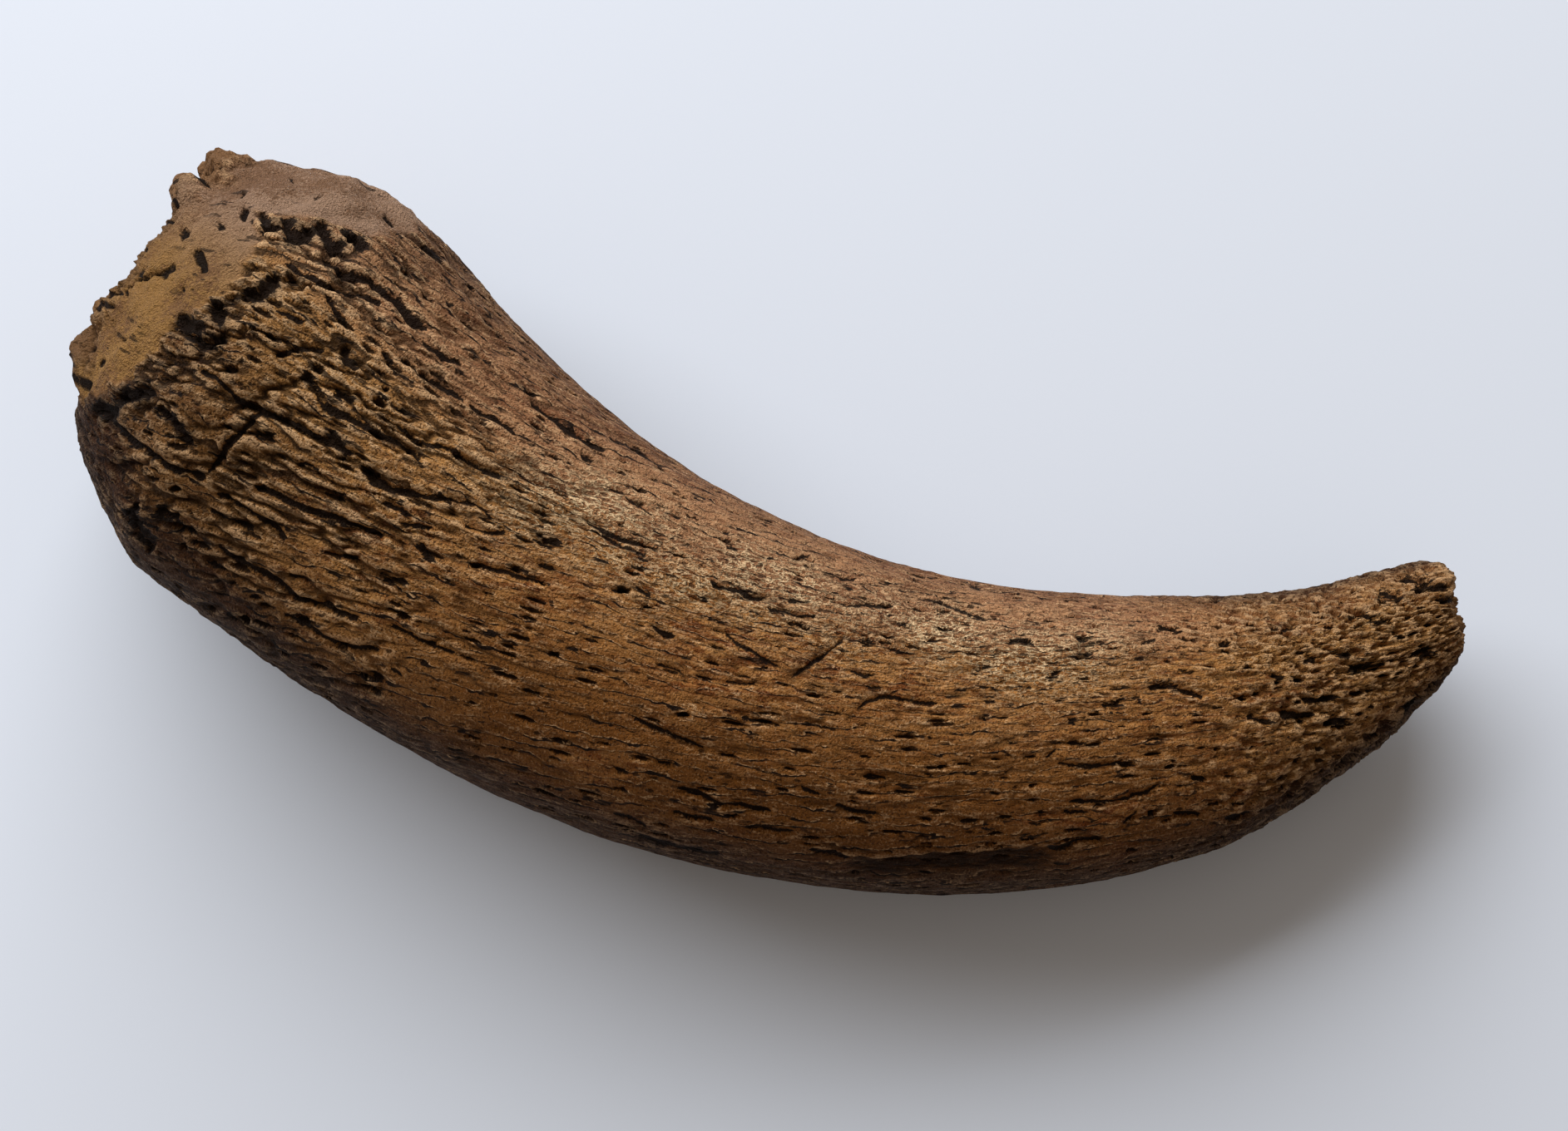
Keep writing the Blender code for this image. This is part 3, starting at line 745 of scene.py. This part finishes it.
def boneFields(tree, skin, ragged):  # 1 where each pattern is deepest
    flow, deep, tip, burr = skin.flow, skin.deep, skin.tip, skin.burr
    return {
        "cave": pits(tree, flow, bone["cave"], total(
            tree, 0.08, (deep, 0.38), (burr, 0.12), (tip, 0.5)), ragged),
        "pore": pits(tree, flow, bone["pore"], total(
            tree, 0.20, (skin.clouds, 0.58), (deep, 0.10), (tip, -0.1)), ragged),
        "pinhole": pits(tree, flow, bone["pinhole"], total(
            tree, 0.38, (tip, 0.3), (skin.worn, 0.1)), ragged),
        "crevice": product(tree, lines(tree, flow, bone["crevice"], deep),
                           total(tree, 0.2, (deep, 0.8))),
        "flake": flakes(tree, flow, bone["flake"], deep),
        "slate": flakes(tree, flow, bone["slate"], total(tree, deep, (tip, 0.2), (burr, -0.3))),
    }


# Relief of the bone surface, as a Geometry Nodes tree. The lifts are in millimetres and raise
# the bone by what its patterns take away on average. The blurs are steps of smoothing, and the
# height above the smoothed relief tells hollows from crests.
relief = {
    "strength": 1.0,
    "porousLift": 0.6,
    "burrLift": 0.4,
    "hollowBlur": 14,
    "quickBlur": 6,
}


def named(tree, name, kind="FLOAT"):
    made = put(tree, "GeometryNodeInputNamedAttribute", data_type=kind)
    made.inputs["Name"].default_value = name
    return made.outputs["Attribute"]


def keep(tree, geometry, name, value, kind="FLOAT"):
    made = put(tree, "GeometryNodeStoreNamedAttribute", data_type=kind, domain="POINT")
    made.inputs["Name"].default_value = name
    tree.links.new(geometry, made.inputs["Geometry"])
    tree.links.new(value, made.inputs["Value"])
    return made.outputs["Geometry"]


def grainRelief(tree, skin):  # what the patterns along the grain dig, as terms of a sum
    flow, deep, tip, burr = skin.flow, skin.deep, skin.tip, skin.burr
    sound = soundBone(tree, skin)
    grit = centred(tree, noise(tree, skin.place, 1.1, 2.0, 0.6))
    field = boneFields(tree, skin, product(tree, grit, 0.35))
    dug = {name: (sound, field[name]) for name in ("cave", "pore", "pinhole", "crevice")}
    for name, least, added in (("flake", 0.25, 0.75), ("slate", 0.4, 0.6)):
        gap = product(tree, rise(tree, field[name][0], 0.60, 0.92), field[name][1])
        dug[name] = (sound, gap, total(tree, least, (deep, added)))
    dug["furrow"] = (sound, product(tree, terraces(tree, flow, bone["furrow"]),
                                    total(tree, (tip, 0.75), (burr, 0.1), (deep, 0.05))))
    dug["split"] = (sound, product(tree, lines(tree, flow, bone["split"], total(tree, deep, tip)),
                                   total(tree, 0.35, (deep, 0.65))))
    dent = centred(tree, streaky(tree, flow, bone["dent"], 2.0))
    return (
        (sound, dent, 2 * bone["dent"]["height"]),
        *((*shares, -bone[name]["depth"]) for name, shares in dug.items()),
        (sound, relief["porousLift"]),
    )


def looseRelief(tree, skin):  # knobs, crumbs, the collar's swell and the spongy break
    place = skin.place
    swell = centred(tree, noise(tree, place, 1 / bone["swell"]["size"], 2.0, 0.6))
    wander = noise(tree, place, 0.35, 1.0, 0.5, True)
    stirred = aim(tree, "MULTIPLY_ADD", wander, (3.2, 3.2, 3.2), place)
    knob = calc(tree, "SUBTRACT", 0.42, cells(tree, stirred, bone["knob"]["size"], "SMOOTH_F1")[0])
    crumb = centred(tree, noise(tree, place, 1 / bone["crumb"]["size"], 2.5, 0.6))
    sponge = rise(tree, cells(tree, stirred, bone["sponge"]["size"])[0], 0.58, 0.24)
    loose = total(tree, (skin.burr, 0.12), (skin.tip, 0.4), (skin.spongy, 0.9))
    return sponge, (
        (skin.collar, swell, 2 * bone["swell"]["height"]),
        (loose, knob, bone["knob"]["height"]),
        (total(tree, loose, 0.08, (skin.deep, 0.35)), crumb, 2 * bone["crumb"]["height"]),
        (skin.spongy, sponge, -bone["sponge"]["depth"]),
    )


def surfaceRelief(tree):  # millimetres of relief, and the cells of the break
    skin = SimpleNamespace(flow=named(tree, "flow", "FLOAT_VECTOR"),
                           place=named(tree, "place", "FLOAT_VECTOR"))
    for name in ("collar", "burr", "deep", "tip", "spongy", "worn", "clouds"):
        setattr(skin, name, named(tree, name))
    sponge, loose = looseRelief(tree, skin)
    height = total(tree, *grainRelief(tree, skin), *loose, (skin.burr, relief["burrLift"]),
                   (named(tree, "mark"), -1.0), named(tree, "bulge"))
    return height, sponge


def reliefTree():
    tree = bpy.data.node_groups.new("bone relief", "GeometryNodeTree")
    tree.is_modifier = True
    face = tree.interface
    face.new_socket("Geometry", in_out="INPUT", socket_type="NodeSocketGeometry")
    strength = face.new_socket("Relief", in_out="INPUT", socket_type="NodeSocketFloat")
    strength.default_value = relief["strength"]
    blur = face.new_socket("Hollow Blur", in_out="INPUT", socket_type="NodeSocketInt")
    blur.default_value = relief["hollowBlur"]
    coat = face.new_socket("Finish", in_out="INPUT", socket_type="NodeSocketMaterial")
    face.new_socket("Geometry", in_out="OUTPUT", socket_type="NodeSocketGeometry")
    given = put(tree, "NodeGroupInput").outputs

    flow = drifted(tree, named(tree, "grain", "FLOAT_VECTOR"))
    geometry = keep(tree, given["Geometry"], "flow", flow, "FLOAT_VECTOR")
    geometry = keep(tree, geometry, "clouds", streaky(tree, flow, bone["clouds"], 3.0, 0.55))
    height, sponge = surfaceRelief(tree)
    geometry = keep(tree, geometry, "height", product(tree, height, given["Relief"]))
    geometry = keep(tree, geometry, "cells", sponge)
    softened = put(tree, "GeometryNodeBlurAttribute", data_type="FLOAT")
    tree.links.new(named(tree, "height"), softened.inputs["Value"])
    tree.links.new(given["Hollow Blur"], softened.inputs["Iterations"])
    hollow = calc(tree, "SUBTRACT", named(tree, "height"), softened.outputs[0])
    geometry = keep(tree, geometry, "hollow", hollow)

    raised = put(tree, "GeometryNodeSetPosition")
    tree.links.new(geometry, raised.inputs["Geometry"])
    normal = put(tree, "GeometryNodeInputNormal").outputs["Normal"]
    push = put(tree, "ShaderNodeVectorMath", operation="SCALE")
    tree.links.new(normal, push.inputs[0])
    tree.links.new(product(tree, named(tree, "height"), mm), push.inputs["Scale"])
    tree.links.new(push.outputs[0], raised.inputs["Offset"])

    resting = put(tree, "GeometryNodeSetPosition")  # nothing reaches below the paper
    tree.links.new(raised.outputs["Geometry"], resting.inputs["Geometry"])
    where = put(tree, "GeometryNodeInputPosition").outputs["Position"]
    tree.links.new(aim(tree, "MAXIMUM", where, (-9.0, -9.0, 0.0)), resting.inputs["Position"])

    whole = put(tree, "GeometryNodeRealizeInstances")
    tree.links.new(resting.outputs["Geometry"], whole.inputs["Geometry"])
    coated = put(tree, "GeometryNodeSetMaterial")
    tree.links.new(whole.outputs["Geometry"], coated.inputs["Geometry"])
    tree.links.new(given["Finish"], coated.inputs["Material"])
    result = put(tree, "NodeGroupOutput")
    tree.links.new(coated.outputs["Geometry"], result.inputs["Geometry"])
    return tree, {"Relief": strength.identifier, "Hollow Blur": blur.identifier,
                  "Finish": coat.identifier}


# The bone's colours, sRGB as seen in daylight, with the painted shade, highlight and sheen, and the
# strength of what they do
finish = {
    # dark: painted shade inside holes, clefts, gaps and hollows
    "dark": (22, 10, 3),
    "brown": (116, 55, 12),
    "tan": (194, 131, 69),
    "redBrown": (112, 64, 36),
    "rose": (188, 136, 98),
    "olive": (190, 139, 78),
    "pale": (244, 204, 152),
    "rubbedAndLit": (240, 193, 141),
    "ochre": (163, 118, 64),
    "clay": (169, 132, 103),
    "stain": (122, 84, 54),
    "warm": (128, 77, 28),
    "umber": (70, 39, 15),
    # grey and paleSheen: a painted sheen low on the sides
    "grey": (66, 50, 41),
    "paleSheen": (118, 98, 84),
    "sponge": (116, 82, 50),
    "oliveShare": 0.5,  # on the rough base and the tip
    "roseShare": 0.70,  # on the inner side of the bend
    "sideShadeShare": 0.74,  # painted shade down the sides, which turn away from the window
    "stainShare": 0.8,  # on the collar
    "spongeShare": 0.8,  # on the break
    "crestRubAndHighlightShare": 0.50,  # on crests: rubbed bone, and painted highlight where they face the light
    "edgeHighlightShare": 0.65,  # painted highlight on the upper edges of scales, which face the light
    "paintedShadeShare": 0.97,  # painted shade in holes, clefts, gaps and hollows
    "bumpHeight": 1.0,
    "roughness": 0.8,
    "gloss": 0.1,
}


def linear(colour):
    part = [value / 255 for value in colour]
    part = [value / 12.92 if value <= 0.04045 else ((value + 0.055) / 1.055) ** 2.4 for value in part]
    return (*part, 1.0)


def mixed(tree, share, first, second):  # each colour is a socket, or a name from finish
    made = put(tree, "ShaderNodeMix", data_type="RGBA")
    feed(tree, made.inputs[0], share)
    for socket, colour in zip((made.inputs[6], made.inputs[7]), (first, second)):
        feed(tree, socket, linear(finish[colour]) if isinstance(colour, str) else colour)
    return made.outputs[2]


def read(tree, name, output="Fac"):
    return put(tree, "ShaderNodeAttribute", attribute_name=name).outputs[output]


def boneSkin(tree):  # the values that the colour and the bump share
    skin = SimpleNamespace(flow=read(tree, "flow", "Vector"), place=read(tree, "place", "Vector"))
    for name in ("collar", "burr", "deep", "tip", "worn", "warm", "grey", "spongy", "hollow",
                 "clouds", "ochre"):
        setattr(skin, name, read(tree, name))
    flow = skin.flow
    skin.sound = soundBone(tree, skin)
    skin.speck = noise(tree, skin.place, 1.6, 3.0, 0.65)
    skin.grit = noise(tree, skin.place, 2.6, 2.0, 0.65)
    skin.fibre = streaky(tree, flow, bone["fibre"])
    skin.fleck = streaky(tree, flow, bone["fleck"])
    skin.ragged = product(tree, centred(tree, skin.speck), 0.4)
    skin.field = boneFields(tree, skin, skin.ragged)

    wander = noise(tree, skin.place, 1.0, 2.0, 0.6, True)
    stirred = aim(tree, "MULTIPLY_ADD", wander, (1.6, 0.7, 0.7), flow)
    skin.chip, skin.chance = chips(tree, stirred, bone["chip"])
    slit = rise(tree, streaky(tree, flow, bone["slit"]), 0.40, 0.35)
    skin.slit = product(tree, slit, skin.sound, total(tree, 0.3, (skin.deep, 0.7)))
    skin.wave = calc(tree, "ABSOLUTE", centred(tree, streaky(tree, flow, bone["wrinkle"], 2.0)))
    skin.wrinkle = rise(tree, skin.wave, 0.065, 0.03)
    return skin


def porousColour(tree, skin):  # brown to tan, olive on the rough base and the tip
    tone = total(tree, (skin.fibre, 0.35), (skin.clouds, 0.50), (skin.fleck, 0.20),
                 (skin.speck, 0.20), (skin.chance, 0.22), (skin.deep, 0.06), -0.02)
    colour = mixed(tree, rise(tree, tone, 0.50, 0.86), "brown", "tan")
    rough = product(tree, most(tree, skin.deep, skin.tip), finish["oliveShare"])
    colour = mixed(tree, rough, colour, mixed(tree, rise(tree, tone, 0.38, 0.78), "brown", "olive"))
    rosy = mixed(tree, rise(tree, tone, 0.45, 0.85), "redBrown", "rose")
    colour = mixed(tree, product(tree, read(tree, "inner"), finish["roseShare"]), colour, rosy)
    return mixed(tree, product(tree, skin.warm, rise(tree, skin.clouds, 0.30, 0.55)), colour, "warm")


def wornColour(tree, skin, colour):  # pale wrinkles along the worn line
    faded = product(tree, rise(tree, skin.clouds, 0.40, 0.54, 0.45, 1.0), total(
        tree, (skin.wrinkle, 0.9), rise(tree, skin.fleck, 0.50, 0.75, 0.0, 0.3)))
    return mixed(tree, product(tree, skin.worn, faded), colour, "pale")


def lowColour(tree, skin, colour):  # darker down the sides as painted shade, and a grey painted sheen towards the paper
    skin.low = read(tree, "low")
    # painted shade: umber down the sides where they turn away from the window light, and darker still on
    # the tip and the burr
    sideShade = total(tree, (skin.low, total(tree, finish["sideShadeShare"], (skin.tip, 0.3))),
                  (skin.tip, 0.2), (skin.burr, 0.3))
    colour = mixed(tree, calc(tree, "MINIMUM", sideShade, 1.0), colour, "umber")
    # painted sheen: a grey cast with paler streaks where light off the paper glances on the lower side
    share = product(tree, skin.grey, rise(tree, skin.fibre, 0.35, 0.65, 0.6, 0.95))
    return mixed(tree, share, colour, mixed(tree, rise(tree, skin.fleck, 0.40, 0.75), "grey", "paleSheen"))


def collarColour(tree, skin, colour):  # the smooth, stained collar and the spongy break
    smooth = mixed(tree, skin.ochre, "clay", "ochre")
    blotch = noise(tree, skin.place, 0.07, 3.0, 0.6)
    stained = rise(tree, total(tree, skin.speck, (blotch, 1.5)), 1.35, 1.05, 0.0, finish["stainShare"])
    colour = mixed(tree, skin.collar, colour, mixed(tree, stained, smooth, "stain"))
    return mixed(tree, product(tree, skin.spongy, finish["spongeShare"]), colour, "sponge")


def crestColour(tree, skin, colour):  # rubbed, paler crests, partly worn bone and partly painted highlight on the tops that face the light
    crest = rise(tree, total(tree, skin.hollow, (skin.fleck, 0.6), (skin.fibre, 0.3),
                             (skin.grit, 0.6)), 0.80, 1.10)
    crest = most(tree, crest, rise(tree, skin.grit, 0.58, 0.70, 0.0, 0.6))
    share = total(tree, finish["crestRubAndHighlightShare"], (skin.deep, 0.14), (skin.tip, -0.1),
                  (skin.low, -0.28), (skin.burr, -0.12))
    return mixed(tree, product(tree, crest, share, skin.sound), colour, "rubbedAndLit")


def boredShade(tree, skin, cleftCount):  # 1 inside this core's holes and clefts, torn at the edges, where their shade is painted
    torn = product(tree, total(tree, skin.fleck, (skin.fibre, 1.5), -1.25), skin.sound, 18.0)
    bored = rise(tree, total(tree, read(tree, "bore"), (skin.ragged, 14.0), torn), -0.8, 1.2)
    for number in range(cleftCount):
        split = parted(tree, read(tree, f"cleft{number}", "Vector"))
        off = calc(tree, "ABSOLUTE", total(tree, split[0], (skin.ragged, 17.0)))
        bored = most(tree, bored, rise(tree, total(tree, off, (split[1], -1.0)), 0.8, -0.8))
    return bored


def plateGap(tree, skin, name, least, added):  # the gap below a flake or a slate
    phase, shown = skin.field[name]
    return product(tree, rise(tree, total(tree, phase, (skin.ragged, 0.7)), 0.86, 0.93),
                   rise(tree, shown, 0.25, 0.6), total(tree, least, (skin.deep, added)))


def scaleColour(tree, skin, colour):  # small scales with a paler upper edge, a painted highlight where the edge faces the light
    phase, shown = flakes(tree, skin.flow, bone["scale"], 0.9)
    offTip = calc(tree, "SUBTRACT", 1.0, product(tree, skin.tip, 0.7))
    skin.shown = product(tree, shown, skin.sound, offTip)
    skin.phase = total(tree, phase, (skin.ragged, 0.5))
    skin.scale = product(tree, rise(tree, skin.phase, 0.78, 0.84), skin.shown)
    share = product(tree, rise(tree, skin.phase, 0.14, 0.04), skin.shown,
                    rise(tree, skin.speck, 0.42, 0.58),
                    total(tree, finish["edgeHighlightShare"], (skin.low, -0.35)))
    return mixed(tree, share, colour, "rubbedAndLit")


def holeShade(tree, skin):  # how dark each of the bone's patterns is, as painted shade in its holes, gaps and slits
    holes = most(tree, product(tree, skin.field["cave"], 0.95), product(tree, skin.slit, 0.85))
    holes = most(tree, holes, product(
        tree, skin.scale, rise(tree, skin.fibre, 0.58, 0.42, 0.2, 1.0)))
    for gap in skin.gaps:
        holes = most(tree, holes, product(tree, gap, 0.95))
    for name, share in (("crevice", 0.93), ("pore", 0.93), ("pinhole", 0.75)):
        holes = most(tree, holes, product(tree, skin.field[name], share))
    holes = most(tree, holes, product(tree, skin.worn, rise(tree, skin.wave, 0.11, 0.17, 0.0, 0.75)))
    return most(tree, holes, product(
        tree, rise(tree, skin.grit, 0.43, 0.34), total(tree, 0.7, (skin.deep, 0.2))))


def darkShade(tree, skin, shade):  # 1 where the bone is darkest: painted shade in hollows, holes, gaps, clefts and the break's cells
    shade = most(tree, shade, product(tree, skin.sound, holeShade(tree, skin)))
    # the trench's darkness is painted shade under its lip; round the deep pits the same attribute is a
    # stain
    gloom = total(tree, read(tree, "gloom"), skin.fibre, skin.fleck)
    shade = most(tree, shade, rise(tree, gloom, 1.25, 2.10, 0.0, 0.9))
    skin.collarPores = product(tree, skin.collar, rise(tree, skin.clouds, 0.46, 0.56), 0.75,
                               most(tree, skin.field["pinhole"], skin.field["pore"]))
    shade = most(tree, most(tree, shade, skin.collarPores), skin.bored)
    return most(tree, shade, product(tree, skin.spongy, rise(tree, read(tree, "cells"), 0.3, 0.8)))


def fineRelief(tree, skin):  # millimetres of what is too fine for the mesh
    field = skin.field
    ripple = total(tree, (skin.fibre, 0.25), (skin.fleck, 0.5), (skin.chip, 0.2),
                   (field["cave"], -0.8), (field["crevice"], -0.7), (field["pore"], -0.55),
                   (field["pinhole"], -0.3), (skin.slit, -0.4),
                   (rise(tree, skin.phase, 0.4, 0.85), skin.shown, -0.6),
                   (skin.wrinkle, skin.worn, 0.5), (skin.gaps[0], -0.7), (skin.gaps[1], -0.4))
    ripple = product(tree, ripple, total(tree, 1.0, (skin.tip, -0.25)))
    gritty = total(tree, 0.35, (skin.collar, 0.6), (skin.sound, 0.3), (skin.deep, 0.7))
    specked = total(tree, 0.55, (skin.sound, skin.deep, 0.5), skin.burr)
    return total(tree, (skin.sound, ripple), (skin.bored, -0.9), (skin.collarPores, -0.4),
                 (skin.grit, gritty), (skin.speck, specked))


def boneMaterial(cleftCount):
    material = bpy.data.materials.new("weathered bone")
    material.use_nodes = True
    tree = material.node_tree
    shader = tree.nodes["Principled BSDF"]
    skin = boneSkin(tree)
    colour = porousColour(tree, skin)
    for coat in (wornColour, lowColour, collarColour, crestColour):
        colour = coat(tree, skin, colour)
    # painted shade in the hollows of the relief
    shade = rise(tree, total(tree, skin.hollow, (centred(tree, skin.fleck), 0.6)), -0.50, -0.95)
    # skin also takes what the next steps find and the bump reads again
    skin.bored = boredShade(tree, skin, cleftCount)
    skin.gaps = (plateGap(tree, skin, "flake", 0.4, 0.5), plateGap(tree, skin, "slate", 0.3, 0.4))
    colour = scaleColour(tree, skin, colour)
    shade = darkShade(tree, skin, shade)
    # painted shade: the darkest places are coloured near black, standing for the shade inside holes,
    # clefts and hollows
    colour = mixed(tree, product(tree, shade, finish["paintedShadeShare"]), colour, "dark")
    tree.links.new(colour, shader.inputs["Base Color"])

    height = fineRelief(tree, skin)
    bump = put(tree, "ShaderNodeBump")
    bump.inputs["Strength"].default_value = 1.0
    bump.inputs["Distance"].default_value = finish["bumpHeight"] * mm
    tree.links.new(height, bump.inputs["Height"])
    tree.links.new(bump.outputs["Normal"], shader.inputs["Normal"])
    shader.inputs["Roughness"].default_value = finish["roughness"]
    shader.inputs["Specular IOR Level"].default_value = finish["gloss"]
    return material


# The mesh of the core

def gridFaces(rings, around):  # quads between rings, and a fan at each end
    ring = np.arange(rings - 1)[:, None] * around
    step = np.arange(around)[None]
    after = (step + 1) % around
    quads = np.stack((ring + step, ring + around + step, ring + around + after, ring + after), -1)
    first, last = rings * around, rings * around + 1
    step, after = step[0], after[0]
    near = np.stack((np.full(around, first), step, after), -1)
    end = (rings - 1) * around
    far = np.stack((np.full(around, last), end + after, end + step), -1)
    return quads.reshape(-1, 4), np.concatenate((near, far))


def buildMesh(points, quads, fans):
    mesh = bpy.data.meshes.new("hornCore")
    mesh.vertices.add(len(points))
    mesh.vertices.foreach_set("co", (points * mm).astype(np.float32).ravel())
    corners = np.concatenate((quads.ravel(), fans.ravel())).astype(np.int32)
    sizes = np.concatenate((np.full(len(quads), 4), np.full(len(fans), 3)))
    starts = np.concatenate(((0,), np.cumsum(sizes)[:-1])).astype(np.int32)
    mesh.loops.add(len(corners))
    mesh.loops.foreach_set("vertex_index", corners)
    mesh.polygons.add(len(sizes))
    mesh.polygons.foreach_set("loop_start", starts)
    mesh.update(calc_edges=True)
    mesh.validate()
    return mesh


def store(mesh, name, values, kind="FLOAT", key="value"):
    made = mesh.attributes.new(name, kind, "POINT")
    made.data.foreach_set(key, np.ascontiguousarray(values, np.float32).ravel())


def hornCore():
    ringAlong, ringShare = ringTable()
    rings, around = len(ringAlong), core["around"]
    turn = np.arange(around) * 2 * math.pi / around - math.pi
    along = np.append(np.repeat(ringAlong, around), (0, core["length"]))
    share = np.append(np.repeat(ringShare, around), (0, 0))
    angle = np.append(np.tile(turn, rings), (0, 0))
    points, radius = formPoints(along, share, angle)
    mesh = buildMesh(points, *gridFaces(rings, around))
    normals = np.empty(len(points) * 3, np.float32)
    mesh.vertices.foreach_get("normal", normals)
    normals = normals.reshape(-1, 3)
    pixels, facing = pixelsOf(points, normals)
    store(mesh, "grain", grainPlace(along, share, angle), "FLOAT_VECTOR", "vector")
    store(mesh, "place", points, "FLOAT_VECTOR", "vector")
    mark, bore, stained = markDepth(pixels, facing)
    dug = trenchDepth(along, angle, radius)
    # gloom: painted shade in the trench, and the stain round the deep pits
    store(mesh, "gloom", np.maximum(dug / trench["depth"], marking["gloom"] * stained))
    mark = mark + dug
    layers = cleftLayers()
    for number, layer in enumerate(layers):
        place, deep = cleftPlace(pixels, facing, layer)
        store(mesh, f"cleft{number}", place, "FLOAT_VECTOR", "vector")
        mark = np.maximum(mark, deep)
    print("clefts:", sum(map(len, layers)), "in", len(layers), "layers")
    store(mesh, "bulge", lumpHeight(along, share, angle, radius) - notchDepth(along, angle, radius))
    store(mesh, "bore", bore)
    store(mesh, "mark", mark)
    for name, values in zones(along, share, angle).items():
        store(mesh, name, values)
    print("form and marks:", len(points), "points")

    piece = bpy.data.objects.new("hornCore", mesh)
    bpy.context.scene.collection.objects.link(piece)
    material = boneMaterial(len(layers))
    mesh.materials.append(material)
    tree, socket = reliefTree()
    modifier = piece.modifiers.new("relief", "NODES")
    modifier.node_group = tree
    modifier[socket["Relief"]] = relief["strength"]
    modifier[socket["Hollow Blur"]] = relief["hollowBlur"]
    modifier[socket["Finish"]] = material
    thin = piece.modifiers.new("thin", "DECIMATE")
    faces = 2 * around * rings
    thin.ratio = min(1.0, core["triangles"] / faces)
    graph = bpy.context.evaluated_depsgraph_get()
    finished = bpy.data.meshes.new_from_object(piece.evaluated_get(graph))
    piece.modifiers.clear()
    piece.data = finished
    finished.shade_smooth()
    print("relief raised:", len(finished.polygons), "faces")
    return piece


# Paper and light, in metres and watts
studio = {
    "paper": (0.80, 0.812, 0.84),
    "paperSize": 5.0,
    "paperRoughness": 0.9,
    "paperGloss": 0.2,
    "paperDrop": 0.0001,  # keeps the paper clear of the core's flats
    "windowAt": (-0.60, 1.22, 0.92),
    "windowSize": (2.6, 1.23),
    "windowPower": 54.5,
    "windowColour": (0.84, 0.905, 1.0),
    "roomLight": (1.0, 0.90, 0.81),
    "roomStrength": 0.235,
}


def makeStudio():
    paper = bpy.data.meshes.new("paper")
    half = studio["paperSize"] / 2
    paper.from_pydata([(-half, -half, 0), (half, -half, 0), (half, half, 0), (-half, half, 0)],
                      [], [(0, 1, 2, 3)])
    material = bpy.data.materials.new("white paper")
    material.use_nodes = True
    shader = material.node_tree.nodes["Principled BSDF"]
    shader.inputs["Base Color"].default_value = (*studio["paper"], 1)
    shader.inputs["Roughness"].default_value = studio["paperRoughness"]
    shader.inputs["Specular IOR Level"].default_value = studio["paperGloss"]
    paper.materials.append(material)
    floor = bpy.data.objects.new("paper", paper)
    floor.location.z = -studio["paperDrop"]
    bpy.context.scene.collection.objects.link(floor)

    light = bpy.data.lights.new("window", "AREA")
    light.shape = "RECTANGLE"
    light.size, light.size_y = studio["windowSize"]
    light.energy = studio["windowPower"]
    light.color = studio["windowColour"]
    window = bpy.data.objects.new("window", light)
    window.location = studio["windowAt"]
    window.rotation_mode = "QUATERNION"
    window.rotation_quaternion = (-Vector(studio["windowAt"])).to_track_quat("-Z", "Y")
    bpy.context.scene.collection.objects.link(window)

    world = bpy.data.worlds.new("room")
    world.use_nodes = True
    sky = world.node_tree.nodes["Background"]
    sky.inputs["Color"].default_value = (*studio["roomLight"], 1)
    sky.inputs["Strength"].default_value = studio["roomStrength"]
    bpy.context.scene.world = world
    bpy.context.scene.view_settings.view_transform = "Standard"


makeCamera()
makeStudio()
print("camera, paper and light made")
horn = hornCore()
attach(horn, "root")
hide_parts("horn_core")
print("horn core finished")
